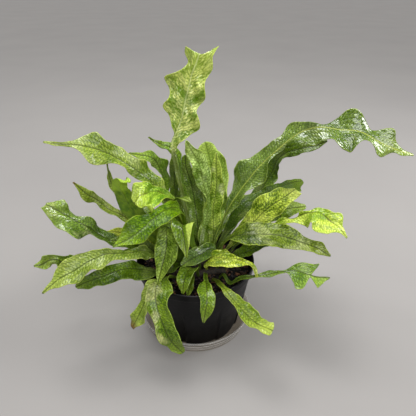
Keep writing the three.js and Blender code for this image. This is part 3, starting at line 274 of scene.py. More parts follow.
          (-162, -11, 95), (-172, -14, 104), (-181, -17, 106), (-190, -20, 102), (-199, -24, 102)],
          [7, 10, 12, 11, 6, 6, 8, 7, 1], [0, 30, 50, 60], fold=(0.15, 0), waves=(4, 3, 0.2, 0.5),
          lobe=0, start=0.68),
    frond("front_left", "bright",
          [(-13, -24, 76), (-25, -41, 98), (-37, -56, 107), (-42, -68, 106), (-43, -78, 100),
          (-40, -88, 90), (-34, -96, 75), (-29, -100, 63), (-22, -103, 52), (-12, -104, 40)],
          ([9, 19, 20, 16, 13, 13, 13, 13, 13, 12, 10, 5], [3, 6, 9, 12, 11, 9, 9, 10, 11, 9, 8, 4]),
          [0, 0, 0, 0], waves=(3.5, 4, 0.2, 0.4), lobe=0, start=0.35),
    frond("short_left", "green",
          [(-21, -28, 76), (-36, -42, 92), (-46, -56, 103), (-49, -65, 103), (-52, -70, 95),
          (-57, -75, 86), (-62, -79, 76), (-67, -81, 66), (-72, -83, 57)],
          ([3, 5, 7, 8, 11, 13, 13, 8, 5], [3, 5, 7, 8, 8, 7, 7, 8, 5]), [0, 0, 0], lobe=0, start=0.3),
    frond("hang_dark", "dark",
          [(-16, -16, 76), (-24, -19, 124), (-31, -25, 138), (-36, -33, 136), (-37, -39, 122),
          (-34, -43, 108)],
          [2.2, 5, 10, 12, 12, 8, 1], [0, 0, 0]),
    frond("front_dark", "dark",
          [(-8, -17, 76), (-11, -24, 97), (-17, -26, 104), (-27, -31, 106), (-34, -35, 98)],
          ([2.2, 5, 9, 10, 2], [2.2, 4, 6, 8, 2]), [0, 0, 0]),
    frond("crosswise", "pale",
          [(19, -7, 76), (29, -0.8, 104), (19, -5.4, 115.5), (8, -18, 116), (-6, -29, 115),
          (-16, -39, 113.5)],
          [2.2, 2.2, 4.6, 9.5, 10, 4], [0, 35, 35]),
    frond("back_right", "green",
          [(21, 31, 76), (33, 60, 102), (58, 86, 122), (88, 108, 124), (112, 132, 110)],
          [2.2, 5, 10, 13, 12, 2], [0, 0, 0]),
    frond("back_mid", "green",
          [(8, 34, 76), (13, 50, 110), (18, 78, 128), (24, 108, 128), (29, 136, 112), (31, 150, 96)],
          [2.2, 5, 10, 13, 14, 12, 2], [0, 0, 0]),
    frond("back_left", "green",
          [(-6, 34, 76), (-14, 46, 110), (-28, 70, 130), (-46, 96, 134), (-62, 124, 122),
          (-72, 142, 104)],
          [2.2, 5, 10, 13, 14, 12, 2], [0, 0, 0]),
    frond("back_side", "green",
          [(-18, 23, 76), (-30, 32, 108), (-54, 46, 128), (-76, 58, 134), (-94, 68, 127)],
          [2.2, 5, 10, 13, 12, 2], [0, 0, 0]),
]

# Curves and grids

CURVE_STEPS = 400


def through(points, places):
    """Smooth curve through evenly spaced points, read at places from 0 to 1.

    Between points b and c, with a before and d after them, it is
    b + f/2 ((c - a) + f ((2a - 5b + 4c - d) + f (3b - a - 3c + d))). Its ends go on straight.
    """
    points = np.asarray(points, float)
    first = 2 * points[0] - points[1]
    last = 2 * points[-1] - points[-2]
    padded = np.concatenate([[first], points, [last]])
    span = np.clip(places, 0, 1) * (len(points) - 1)
    i = np.minimum(span.astype(int), len(points) - 2)
    f = span - i
    if points.ndim > 1:
        f = f[:, None]
    a, b, c, d = padded[i], padded[i + 1], padded[i + 2], padded[i + 3]
    return b + f / 2 * ((c - a) + f * ((2 * a - 5 * b + 4 * c - d) + f * (3 * b - a - 3 * c + d)))


def evenly(points):
    """A function that reads the curve at shares of its length, and that length."""
    places = np.linspace(0, 1, CURVE_STEPS)
    steps = np.linalg.norm(np.diff(through(points, places), axis=0), axis=1)
    reach = np.concatenate([[0], np.cumsum(steps)])

    def at(shares):
        wanted = np.clip(shares, 0, 1) * reach[-1]
        return through(points, np.interp(wanted, reach, places))

    return at, reach[-1]


def unit(vectors):
    """The vectors, each scaled to a length of one."""
    return vectors / np.linalg.norm(vectors, axis=-1, keepdims=True)


def smooth(low, high, value):
    """0 below low, 1 above high, and 3f^2 - 2f^3 between them."""
    f = np.clip((value - low) / (high - low), 0, 1)
    return f * f * (3 - 2 * f)


def ring_faces(rows, columns):
    """Four-sided faces between neighbouring rings of points. Each ring's last point joins its first."""
    i, j = np.meshgrid(np.arange(rows - 1), np.arange(columns), indexing="ij")
    beside = (j + 1) % columns
    corners = [i * columns + j, i * columns + beside, (i + 1) * columns + beside, (i + 1) * columns + j]
    return np.stack(corners, -1).reshape(-1, 4)


def add(name, data):
    """A new object in the scene that holds the data."""
    thing = bpy.data.objects.new(name, data)
    bpy.context.scene.collection.objects.link(thing)
    return thing


def make(name, points, faces, finish, slot, shaded=True, **values):
    """A piece from arrays: points in millimetres, faces as rows of point numbers, and values for points.

    The value called plan becomes the mesh's UV map.
    """
    mesh = bpy.data.meshes.new(name)
    mesh.vertices.add(len(points))
    mesh.vertices.foreach_set("co", np.asarray(points * MM, np.float32).ravel())
    faces = [faces] if isinstance(faces, np.ndarray) else faces
    counts = np.concatenate([np.full(len(rows), rows.shape[1]) for rows in faces])
    corners = np.concatenate([rows.ravel() for rows in faces])
    mesh.loops.add(len(corners))
    mesh.loops.foreach_set("vertex_index", corners.astype(np.int32))
    mesh.polygons.add(len(counts))
    mesh.polygons.foreach_set("loop_start", np.concatenate([[0], np.cumsum(counts)[:-1]]).astype(np.int32))
    mesh.polygons.foreach_set("use_smooth", np.full(len(counts), shaded))
    for key, value in values.items():
        if key == "plan":
            layer = mesh.uv_layers.new(name=key)
            layer.data.foreach_set("uv", value[corners].astype(np.float32).ravel())
        else:
            attribute = mesh.attributes.new(key, "FLOAT", "POINT")
            attribute.data.foreach_set("value", np.asarray(value, np.float32).ravel())
    mesh.update()
    mesh.validate()
    mesh.materials.append(finish)
    piece = add(name, mesh)
    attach(piece, "root")
    return piece


# Net of veins, worked out alike for the relief in the mesh and for the colour in the material

SIDE_VEIN = 3.7
CROSS_VEIN = 5.0
VEIN_SLANT = 0.75
VEIN_SHIFT = 2.3
ROW_SHIFT = 0.37
PLEAT_SLANT = 0.9
PLEAT_SHIFT = 4
PLEAT_LENGTHS = (1.05, 2.3)


def absolute(value):
    return value.math("ABSOLUTE") if isinstance(value, Value) else np.abs(value)


def sine(value):
    return value.math("SINE") if isinstance(value, Value) else np.sin(value)


def floor(value):
    return value.math("FLOOR") if isinstance(value, Value) else np.floor(value)


def past(value, limit):
    return value.math("GREATER_THAN", limit) if isinstance(value, Value) else np.greater(value, limit)


def net(across, reach):
    """How far a point lies from its nearest side vein and cross vein, as shares of the cell, 0 to 0.5.

    Side veins leave the midrib aslant, one each SIDE_VEIN millimetres, shifted between the two sides.
    Cross veins join them each CROSS_VEIN millimetres, shifted from row to row. Both wander by sines.
    """
    out = absolute(across)
    aslant = reach - VEIN_SLANT * out + VEIN_SHIFT * past(across, 0)
    row = aslant / SIDE_VEIN + 0.17 * sine(out * 0.9 + reach * 0.07) + 0.1 * sine(out * 2.1 - reach * 0.21)
    cell = out / CROSS_VEIN + ROW_SHIFT * floor(row)
    cell = cell + 0.3 * sine(floor(row) * 2.4) + 0.08 * sine(reach * 1.9)
    from_side = 0.5 - absolute(row - floor(row) - 0.5)
    from_cross = 0.5 - absolute(cell - floor(cell) - 0.5)
    return from_side, from_cross


def pillow(from_side, from_cross):
    """Height of a cell of the net, 0 at its veins and 1 in its middle: a product of two parabolas."""
    return (1 - (1 - from_side * 2) ** 2) * (1 - (1 - from_cross * 2) ** 2)


def pleats(across, reach):
    """Height of the blade's slanting pleats, from -1.5 to 1.5: a sum of two sines, uneven by two more."""
    out = absolute(across)
    wander = 1.6 * sine(reach * 0.23) + 1.2 * sine(out * 0.55 + reach * 0.4)
    aslant = reach - PLEAT_SLANT * out + PLEAT_SHIFT * past(across, 0) + wander
    return sine(aslant / PLEAT_LENGTHS[0]) + 0.5 * sine(aslant / PLEAT_LENGTHS[1] + 1)


# Fronds

# Grid of a blade: steps along and across it
STATION = 1.3
CELL = 1.25
LEAST_CELLS = 4
# Half-thicknesses of the sheet and the stalk, how round the stalk is, and the midrib
SHEET = 0.26
STALK_DEPTH = 1.5
ROUNDNESS = 0.97
RIB = dict(half=0.9, above=0.15, below=0.9)
TIP_ROUNDED = (0.9, 1)
# Relief: height of the net's cells, how far from the midrib it comes in, and the finer waves
PUCKER = 0.5
PUCKERED = (0.8, 3)
PLEAT = 0.12
PLEATS = dict(top=0.9, left_high=0.3, right_long=0.25)
RUFFLE = dict(height=0.9, length=2.3)
BUCKLE = dict(height=0.55, across=4.3, slant=11, along=6.1, back_slant=9)
CRUMPLE = dict(across=2.2, along=4, fade=0.2)
# Crumpled tips: the share at which each one begins, and its height
CRUMPLES = dict(
    front_right=(0.75, 1.3), bright=(0.35, 1.6), yellow_front=(0.2, 1), left_wide=(0.7, 1), top=(0.55, 1.6),
    left_curl=(0.7, 2), right_yellow=(0.5, 1.2), centre_wavy=(0.4, 1.4),
)
# Scallops of the margins: pitch, share of the width, rise, phase and the right margin's lag
SCALLOPED = (27, 0.05, 0.8, 0.2, 0.4)
SCALLOPS = dict(
    top=(30.6, 0.11, 2.2, 0.18, 0.34), right_yellow=(26, 0.1, 1.8, 0, 0.5),
    left_wide=(32, 0.09, 1.6, 0.3, 0.4), centre_wavy=(30, 0.08, 1.4, 0, 0.5),
    left_high=(30, 0.07, 1.4, 0.5, 0.4), left_mid=(26, 0.1, 1.6, 0, 0.5),
    broad_left=(30, 0.06, 1.2, 0.1, 0.5), right_long=(30, 0.03, 0.8, 0, 0.5),
    right_low=(34, 0.04, 0.8, 0, 0.5),
)
# Burnt tips, as shares of the frond
BURNT = dict(short_left=0.12, left_yellow=0.04)
BURNT_END = 1.02


def half_widths(row):
    """The row's left and right half-widths. One list stands for both."""
    return row["half"] if isinstance(row["half"][0], list) else (row["half"], row["half"])


def midrib(row, shares):
    """Points of a frond's midrib, its direction there, the blade's sideways and upward directions, and the
    midrib's length.

    Sideways is square to the midrib and as level as it can be across the heading, then turned by the roll.
    """
    at, length = evenly(row["route"])
    tangent = unit(at(shares + TANGENT_REACH) - at(shares - TANGENT_REACH))
    root, tip = np.array(row["route"][0], float), np.array(row["route"][-1], float)
    straight = math.degrees(math.atan2(tip[1] - root[1], tip[0] - root[0]))
    heading = math.radians(row.get("heading", straight))
    level = np.array([math.sin(heading), -math.cos(heading), 0])
    flat = unit(level - (tangent @ level)[:, None] * tangent)
    face = np.cross(flat, tangent)
    roll = np.radians(through(row["roll"], shares))[:, None]
    side = flat * np.cos(roll) + face * np.sin(roll)
    up = face * np.cos(roll) - flat * np.sin(roll)
    return at(shares), tangent, side, up, length


def widths_along(row, shares, grown):
    """Left and right half-widths along the midrib. They leave the bare stalk's with the square of the share
    up to the row's start, and follow the row's own from there."""
    start = row.get("start", 0)
    widths = []
    for half in half_widths(row):
        before = STALK["half"] + (half[0] - STALK["half"]) * (shares / max(start, LEAST_START)) ** 2
        after = np.maximum(through(half, (shares - start) / (1 - start)), LEAST_HALF)
        listed = np.where(shares < start, before, after)
        widths.append(STALK["half"] + (listed - STALK["half"]) * grown)
    return widths


def onward(row, shares, width, out, right):
    """How far a blade's points run on along its midrib. The tip's corners and a slanting margin run ahead,
    and the margins of a tip without corners fall back by the width times 1 - sqrt(1 - out^2)."""
    near_tip = np.clip((shares - MARGIN["corner_from"]) / (1 - MARGIN["corner_from"]), 0, 1)[:, None] ** 2
    ends = np.where(right, row["end"][1], row["end"][0])
    slant = np.where(right, *row.get("slant", (0, 0))[::-1])
    corner = ends * out ** MARGIN["corner_rise"] * near_tip + slant * width * out
    rounded = np.clip(1 - ends / 2, 0, 1) * width * (1 - np.sqrt(1 - ROUNDNESS * out**2))
    return corner - rounded * smooth(*TIP_ROUNDED, shares)[:, None]


def relief(row, shares, across, out, right, reach):
    """Height of the blade's fine forms over its middle surface.

    The ruffle is a sine along the margin, the pleats slant across, the buckle is a product of two slanting
    sines, and the crumple is one more sine that comes in towards the tip.
    """
    seed = sum(map(ord, row["name"]))
    ruffle = RUFFLE["height"] * out**4 * np.sin(reach / RUFFLE["length"] + seed + 2 * right)
    pleat = PLEATS.get(row["name"], PLEAT) * out * pleats(across, reach)
    buckle = BUCKLE["height"] * np.sin(across / BUCKLE["across"] + reach / BUCKLE["slant"] + seed)
    buckle = buckle * np.sin(reach / BUCKLE["along"] - across / BUCKLE["back_slant"] + 2 * seed)
    begin, height = CRUMPLES.get(row["name"], (1, 0))
    crumple = height * np.sin(across / CRUMPLE["across"] + reach / CRUMPLE["along"] + seed)
    buckle = buckle + crumple * smooth(begin, begin + CRUMPLE["fade"], shares)[:, None]
    return ruffle + pleat + buckle * (1 - out**4)


def blade(row, shares, u):
    """Middle surface of a frond's blade, how far each point lies across it, and how far the blade has grown
    out of its bare stalk.

    At share t of the midrib and u across, from -1 to 1, the point is the midrib's, moved sideways by the
    half-width, up by the keel, the cup, the margin's wave and the relief, and on along the midrib. A
    scalloped margin swells and rises by one more, shorter wave.
    """
    middle, tangent, side, up, length = midrib(row, shares)
    grown = smooth(STALK["bare"], STALK["bare"] + STALK["blend"], shares * length)
    widths = widths_along(row, shares, grown)
    reach = shares[:, None] * length
    right = u[None, :] > 0
    out = np.abs(u)[None, :]
    full = np.maximum(*widths)[:, None]
    swell = np.minimum(full / max(map(max, half_widths(row))), 1) ** MARGIN["swell_rise"]
    keel, cup = row["fold"]
    count, depth, phase, lag = row["waves"]
    angle = 2 * np.pi * (count * shares[:, None] + phase + right * lag)
    pitch, spread, rise, scallop_phase, scallop_lag = SCALLOPS.get(row["name"], SCALLOPED)
    turn = 2 * np.pi * (reach / pitch + scallop_phase + right * scallop_lag)
    width = np.where(right, widths[1][:, None], widths[0][:, None])
    width = width * (1 + row["lobe"] * np.cos(angle) * swell)
    width = width * (1 + spread * np.cos(turn) * swell)
    across = width * u
    drawn_in = math.sqrt(max(1 - keel * keel, MARGIN["least_spread"]))
    lift = width * (keel * out + cup * out**2) + depth * swell * np.sin(angle) * out ** MARGIN["wave_rise"]
    lift = lift + rise * swell * np.sin(turn) * out**2
    lift = lift + relief(row, shares, across, out, right, reach) * grown[:, None] * swell
    ahead = onward(row, shares, width, out, right)
    points = (middle[:, None] + side[:, None] * (across * drawn_in)[..., None]
              + up[:, None] * lift[..., None] + tangent[:, None] * ahead[..., None])
    return points, across, grown[:, None]


def frond_piece(row):
    """Closed thin blade, quilted by the net of veins, with a midrib that stands out of its lower face.

    Each station is a loop: the upper face from margin to margin, then the lower face. The half-thickness
    goes from a round stalk's, by the root of 1 - u^2, to the sheet's, with a ridge at the midrib.
    """
    length = evenly(row["route"])[1]
    stations = int(length / STATION)
    cells = 2 * max(LEAST_CELLS, int(max(map(max, half_widths(row))) / CELL))
    shares = np.linspace(0, 1, stations + 1)
    u = np.linspace(-1, 1, cells + 1)
    middle, across, grown = blade(row, shares, u)
    reach = np.broadcast_to(shares[:, None] * length, across.shape)
    out = np.broadcast_to(np.abs(u)[None, :], across.shape)
    normal = unit(np.cross(np.gradient(middle, axis=1), np.gradient(middle, axis=0)))
    quilt = PUCKER * pillow(*net(across, reach)) * grown * (1 - out**6) * smooth(*PUCKERED, np.abs(across))
    stalk = STALK_DEPTH * np.sqrt(1 - ROUNDNESS * out**2)
    ridge = np.exp(-(across / RIB["half"]) ** 2)
    upper_half = stalk + (SHEET + RIB["above"] * ridge - stalk) * grown
    lower_half = stalk + (SHEET + RIB["below"] * ridge - stalk) * grown
    upper = middle + normal * (quilt + upper_half)[..., None]
    lower = middle + normal * (quilt - lower_half)[..., None]
    loops = np.concatenate([upper, lower[:, ::-1]], 1)
    around = 2 * (cells + 1)
    faces = ring_faces(stations + 1, around)
    j = np.arange(cells)
    first = np.stack([j + 1, j, around - 1 - j, around - 2 - j], -1)
    last = stations * around + np.stack([j, j + 1, around - 2 - j, around - 1 - j], -1)

    def both(values):
        """The values of a blade's points, for its upper and its lower face."""
        values = np.broadcast_to(values, across.shape)
        return np.concatenate([values, values[:, ::-1]], 1).ravel()

    under = np.concatenate([np.zeros_like(across), np.ones_like(across)], 1).ravel()
    piece = make(
        "leaf_" + row["name"], loops.reshape(-1, 3), [np.concatenate([faces, first, last])],
        LEAF_FINISHES[finish_name(row)], "leaf_" + row["tone"],
        plan=np.stack([both(across), both(reach)], -1) / PLAN_SCALE,
        margin=both(out), under=under, grown=both(grown), share=both(shares[:, None]),
        burnt=both(smooth(1 - BURNT.get(row["name"], 0), BURNT_END, shares)[:, None]),
    )
    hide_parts("frond_" + row["name"])


# Finishes


class Value:
    """A number in a material. Python's operators on it add Math nodes."""

    def __init__(self, finish, socket):
        self.finish = finish
        self.socket = socket

    def beside(self, number):
        """Another output of the same node."""
        return Value(self.finish, self.socket.node.outputs[number])

    def math(self, operation, *others):
        return self.finish.node("Math", dict(operation=operation), dict(enumerate([self, *others])))

    def __add__(self, other):
        return self.math("ADD", other)

    __radd__ = __add__

    def __mul__(self, other):
        return self.math("MULTIPLY", other)

    __rmul__ = __mul__

    def __sub__(self, other):
        return self.math("SUBTRACT", other)

    def __rsub__(self, other):
        return self.finish.node("Math", dict(operation="SUBTRACT"), {0: other, 1: self})

    def __truediv__(self, other):
        return self.math("DIVIDE", other)

    def __pow__(self, other):
        return self.math("POWER", other)

    def least(self, other):
        return self.math("MINIMUM", other)

    def most(self, other):
        return self.math("MAXIMUM", other)

    def between(self, low, high):
        """0 below low, 1 above high and a smooth step between them. A low above high turns it round."""
        settings = dict(interpolation_type="SMOOTHSTEP")
        sockets = {"Value": self, "From Min": low, "From Max": high}
        return self.finish.node("MapRange", settings, sockets)


class Finish:
    """A material being put together."""

    def __init__(self, name):
        self.material = bpy.data.materials.new(name)
        self.material.use_nodes = True
        self.tree = self.material.node_tree
        self.tree.nodes.clear()

    def node(self, kind, settings=None, sockets=None, output=0):
        """Adds a node, its settings first and then its sockets, and gives one of its outputs."""
        node = self.tree.nodes.new("ShaderNode" + kind)
        for key, setting in (settings or {}).items():
            setattr(node, key, setting)
        for key, value in (sockets or {}).items():
            if isinstance(value, Value):
                self.tree.links.new(value.socket, node.inputs[key])
            else:
                node.inputs[key].default_value = value
        return Value(self, node.outputs[output])

    def attribute(self, name):
        return self.node("Attribute", dict(attribute_name=name), output="Fac")

    def place(self):
        return self.node("TexCoord", output="Object")

    def noise(self, scale, detail, roughness=0.5):
        sockets = {"Scale": scale, "Detail": detail, "Roughness": roughness, "Vector": self.place()}
        return self.node("TexNoise", None, sockets, "Fac")

    def mix(self, factor, first, second):
        """A colour between two colours."""
        return self.node("Mix", dict(data_type="RGBA"), {0: factor, 6: first, 7: second}, 2)

    def bump(self, height, distance, strength=1.0):
        return self.node("Bump", None, {"Height": height, "Distance": distance, "Strength": strength})

    def surface(self, sockets):
        """The shader that every finish starts from."""
        return self.node("BsdfPrincipled", None, sockets)

    def end(self, shader):
        """The shader goes to the material's output, and the material is done."""
        self.tree.links.new(shader.socket, self.tree.nodes.new("ShaderNodeOutputMaterial").inputs["Surface"])
        return self.material


def colour(red, green, blue):
    """A colour for a socket, from the 0 to 255 numbers of a screen, with the screen's curve undone."""
    def linear(level):
        share = level / 255
        return share / 12.92 if share <= 0.04045 else ((share + 0.055) / 1.055) ** 2.4

    return (linear(red), linear(green), linear(blue), 1)


# Zones of a leaf, from where each one is nothing to where it is whole, in millimetres or as shares
SIDE_LINE = (0.55, 0.1)
CROSS_LINE = (0.42, 0.08)
RIB_LINE = (1.1, 0.4)
UNDER_RIB_LINE = (1.4, 0.5)
# Painted light on one half of the blade, from this far out of the midrib
LIT_HALF = (4, 7)
# Painted light and shade across the scallops, from this far out of the midrib
SCALLOP_SHADE_ZONE = (1, 8)
EDGE_LINE = (0.92, 0.98)
# Painted shade: the blade darkens towards its foot, deep in the clump
SHADED_LEAF_FOOT = (0.55, 0.05)
LEAF_TIP = (0.8, 1)
UNEVEN = (0.32, 0.68)
# Pale blotches: the fern's mottling, and partly painted sheen
SPOTS_AND_SHEEN = (0.5, 0.6)
PALE_FADE = 0.12
LIP_FADE = 0.04
STALK_FADE = 0.05
BURNT_BROWN = colour(112, 66, 34)
STALK_FOOT = colour(52, 62, 20)
BARE_STALK = colour(86, 104, 34)
PLAN_SCALE = 100
# Scales of the noises, and how much light a blade lets through
NOISES = dict(broad=36, patches=150, fine=620, spots_and_sheen=27)
TRANSLUCENT = 0.25


def leaf_finish(name, deep, light, vein, rib, edge, under, pale=(176, 184, 112), blotch=0.25, gloss=0.3,
                sheen=0.3, lit_side=0, contrast=1.0, crests=0, stalk_end=0, lip=0, pale_from=0):
    """A leathery blade: mottled ground under a net of thin darker veins, pale blotches that are partly the
    fern's mottling and partly painted sheen, a midrib line, a pale margin, yellower towards the tip, darker
    towards its foot by painted shade, browned where it is burnt, and a dull underside.

    Small relief breaks up its gloss. Each colour is given as the 0 to 255 numbers of a screen. lit_side
    paints that half of the blade in the edge's colour as painted light, crests is how much lighter the
    pleats' crests and how much darker their grooves are painted, with painted light and shade across the
    scallops too, stalk_end is the share at which a bare stalk ends, lip the share past which the blade takes
    the edge's colour, and pale_from the share past which it has its pale blotches.
    """
    tones = (deep, light, vein, rib, edge, under, pale)
    deep, light, vein, rib, edge, under, pale = [colour(*tone) for tone in tones]
    finish = Finish("fern_" + name)
    plan = finish.node("SeparateXYZ", None, {0: finish.node("UVMap", dict(uv_map="plan"))})
    across = plan * PLAN_SCALE
    reach = plan.beside(1) * PLAN_SCALE
    out = absolute(across)
    from_side, from_cross = net(across, reach)
    side_line = (from_side * SIDE_VEIN).between(*SIDE_LINE)
    cross_line = (from_cross * CROSS_VEIN).between(*CROSS_LINE)
    grown, under_side, share = map(finish.attribute, ("grown", "under", "share"))
    line = side_line.most(cross_line * 0.75) * grown
    cells = pillow(from_side, from_cross)
    broad = finish.noise(NOISES["broad"], 2).between(*UNEVEN)
    patches = finish.noise(NOISES["patches"], 3).between(*UNEVEN)
    fine = finish.noise(NOISES["fine"], 3)
    ground = (broad * 0.34 + patches * 0.3 + cells * 0.2 + (fine - 0.5) * 0.9 - 0.42) * contrast + 0.46
    # Painted light and shade: the pleats' crests lighter and their grooves darker, and the scallops banded
    # light and dark
    if crests:
        scallop_shade = sine(reach * 0.3 - out * 0.25 + past(across, 0) * 2)
        ground = ground + pleats(across, reach) * (crests * (0.2 + broad))
        ground = ground + scallop_shade * out.between(*SCALLOP_SHADE_ZONE) * (crests * 1.6)
    body = finish.mix(ground.between(0, 1), deep, light)
    # Pale blotches: the fern's mottling, and partly painted sheen
    spots_and_sheen = finish.noise(NOISES["spots_and_sheen"], 3, roughness=0.6).between(*SPOTS_AND_SHEEN) * (0.45 + patches * 0.55)
    if pale_from:
        spots_and_sheen = spots_and_sheen * share.between(pale_from, pale_from + PALE_FADE)
    body = finish.mix(spots_and_sheen * blotch, body, pale)
    body = finish.mix(line * (0.3 + patches * 0.45), body, vein)
    # Painted shade: darker towards the blade's foot, where it lies deep in the clump
    body = finish.mix(share.between(*SHADED_LEAF_FOOT) * 0.4, body, vein)
    body = finish.mix(share.between(*LEAF_TIP) * 0.35, body, edge)
    # Painted light: one half of the blade in the edge's colour, as if lit
    if lit_side:
        body = finish.mix((across * lit_side).between(*LIT_HALF) * 0.9, body, edge)
    body = finish.mix(out.between(*RIB_LINE) * 0.7, body, rib)
    body = finish.mix(finish.attribute("margin").between(*EDGE_LINE) * 0.6, body, edge)
    lower = finish.mix(line * 0.4 + out.between(*UNDER_RIB_LINE) * 0.4, under, vein)
    lower = finish.mix(patches * 0.3 + share.between(*LEAF_TIP) * 0.4, lower, light)
    body = finish.mix(under_side, body, lower)
    if lip:
        body = finish.mix(share.between(lip, lip + LIP_FADE) * 0.8, body, edge)
    body = finish.mix(finish.attribute("burnt"), body, BURNT_BROWN)
    body = finish.mix((1 - grown) * 0.65, body, STALK_FOOT)
    if stalk_end:
        body = finish.mix(share.between(stalk_end, stalk_end - STALK_FADE) * 0.85, body, BARE_STALK)
    height = cells * 0.5 - line * 0.5 + fine * 0.5 + patches * 0.5
    leather = finish.surface({
        "Base Color": body,
        "Roughness": gloss + (fine - 0.5) * 0.3 + under_side * 0.25,
        "Specular IOR Level": 0.1 + sheen * 0.6,
        "Coat Weight": sheen,
        "Coat Roughness": 0.13,
        "Normal": finish.bump(height, 0.0006, 0.8),
    })
    glow = finish.node("BsdfTranslucent", None, {"Color": finish.mix(0.4, body, edge)})
    return finish.end(finish.node("MixShader", None, {0: TRANSLUCENT, 1: leather, 2: glow}))


LEAF_TONES = dict(
    lime=dict(deep=(118, 140, 10), light=(216, 228, 84), vein=(92, 112, 10), rib=(96, 98, 30),
              edge=(222, 230, 92), under=(150, 166, 52)),
    bright=dict(deep=(64, 100, 0), light=(140, 176, 34), vein=(50, 84, 0), rib=(60, 76, 12),
                edge=(190, 208, 84), under=(112, 138, 34)),
    green=dict(deep=(56, 86, 0), light=(134, 164, 34), vein=(38, 64, 0), rib=(52, 60, 14),
               edge=(166, 188, 72), under=(92, 120, 32)),
    dark=dict(deep=(42, 68, 0), light=(106, 136, 24), vein=(26, 48, 0), rib=(36, 44, 10),
              edge=(142, 166, 58), under=(74, 100, 24)),
    pale=dict(deep=(82, 114, 6), light=(170, 190, 74), vein=(58, 86, 4), rib=(64, 76, 18),
              edge=(204, 218, 104), under=(124, 146, 50)),
    mottled=dict(deep=(56, 84, 2), light=(150, 172, 52), vein=(40, 62, 0), rib=(46, 54, 16),
                 edge=(184, 202, 78), under=(104, 130, 40), blotch=0.6),
)


def like(tone, **own):
    """A leaf tone's values with a frond's own in place of some."""
    return dict(LEAF_TONES[tone], **own)


FROND_TONES = dict(
    top=like("lime", deep=(116, 154, 22), light=(248, 255, 150), vein=(108, 144, 36), edge=(212, 232, 86),
             rib=(232, 242, 166), pale=(238, 250, 190), contrast=1.2, crests=0.16, sheen=0.6,
             stalk_end=0.62),
    right_long=like("green", deep=(72, 102, 14), light=(146, 174, 70), rib=(186, 196, 84), gloss=0.22,
                    sheen=0.9),
    right_mottled=like("pale", deep=(66, 98, 0), light=(206, 226, 76), vein=(40, 64, 0),
                       pale=(228, 234, 120), blotch=0.6, contrast=1.5, sheen=0.15),
    right_yellow=like("lime", deep=(132, 172, 26), light=(216, 234, 96), vein=(104, 138, 20),
                      pale=(240, 248, 170), edge=(224, 238, 110), contrast=1.4),
    yellow_front=like("lime", deep=(96, 128, 0), light=(224, 240, 80), vein=(44, 60, 0), contrast=1.4),
    bright=like("lime", deep=(88, 140, 0), light=(184, 218, 70), vein=(50, 92, 0), contrast=1.3,
                crests=0.08),
    broad_left=like("bright", deep=(48, 80, 0), light=(122, 160, 0), edge=(160, 184, 48), blotch=0.08,
                    contrast=1.3, sheen=0.1),
    front_left=like("green", pale=(186, 188, 120), blotch=1.0, pale_from=0.34),
    front_right=like("pale", deep=(74, 102, 0), vein=(40, 56, 0), light=(160, 180, 56), edge=(208, 224, 96),
                     sheen=0.15),
    centre_broad=like("pale", deep=(108, 148, 28), light=(188, 220, 94), rib=(110, 136, 40)),
    centre_wavy=like("mottled", deep=(104, 140, 28), light=(208, 236, 130), pale=(228, 240, 190),
                     rib=(110, 130, 50), blotch=0.9, contrast=1.3),
    bright_tip=like("mottled", deep=(90, 130, 8), light=(208, 230, 96), edge=(232, 246, 110),
                    pale=(226, 234, 170), rib=(84, 106, 30), blotch=0.8, contrast=1.3),
    left_high=like("pale", pale=(196, 206, 140), blotch=0.5),
    left_low=like("pale", deep=(74, 104, 4), light=(164, 184, 72)),
    left_dark=like("dark", sheen=0.15),
    right_low=like("mottled", deep=(42, 66, 0), light=(136, 158, 46), pale=(184, 192, 126), contrast=1.2,
                   sheen=0.2),
    left_yellow=like("mottled", deep=(88, 112, 12), light=(160, 180, 62)),
    left_wide=like("green", light=(140, 174, 60), pale=(180, 186, 122), blotch=0.9, sheen=0.8),
    hang_left=like("green", light=(166, 196, 70), sheen=0.15),
    hang_centre=like("green", light=(134, 168, 30), edge=(206, 228, 100), lit_side=-1),
    left_curled_back=like("green", light=(204, 232, 50), under=(88, 128, 26), edge=(176, 208, 60), lip=0.8),
    short_left=like("pale", deep=(96, 124, 10), light=(176, 196, 80)),
    right_crested=like("green", deep=(60, 94, 4), light=(142, 178, 50), sheen=0.35),
    crosswise=like("dark", light=(116, 150, 44), sheen=0.4),
    dark_centre=like("dark", deep=(64, 92, 10), light=(132, 162, 54), under=(92, 120, 36)),
    left_mid=like("green", deep=(74, 110, 10), light=(152, 188, 52), under=(104, 136, 40)),
    small_left=like("green", deep=(76, 112, 12), light=(152, 188, 54), under=(104, 136, 40)),
    right_round=like("dark", light=(90, 116, 26), sheen=0.1),
)
TONES = {**LEAF_TONES, **FROND_TONES}


def finish_name(row):
    """A frond with tones of its own has its own finish, and any other has its tone's."""
    return row["name"] if row["name"] in FROND_TONES else row["tone"]


LEAF_FINISHES = {name: leaf_finish(name, **TONES[name]) for name in sorted(set(map(finish_name, FRONDS)))}

# Other finishes

RIDGE = 0.35
RIDGE_PITCH = 3.8
# Painted highlights of the saucer: heights where its ridges carry them, the part of each ridge's wave they
# cover, and the lip's band below the rim
RIDGES_FROM = (2.4, 3.4)
RIDGE_HIGHLIGHT = (0.7, 0.97)
LIP_HIGHLIGHT = (1, 0.4)


def plastic_black():
    """Moulded black plastic with fine scuffs, patches of dust and a soft sheen."""
    finish = Finish("nursery_black")
    scuff = finish.noise(240, 4)
    dust = finish.noise(28, 3).between(0.45, 0.75)
    body = finish.mix(dust * 0.3, colour(3, 3, 4), colour(20, 20, 22))
    return finish.end(finish.surface({
        "Base Color": body,
        "Roughness": 0.38 + dust * 0.18 + (scuff - 0.5) * 0.12,
        "Specular IOR Level": 0.22,
        "Normal": finish.bump(scuff, 0.00012),
    }))


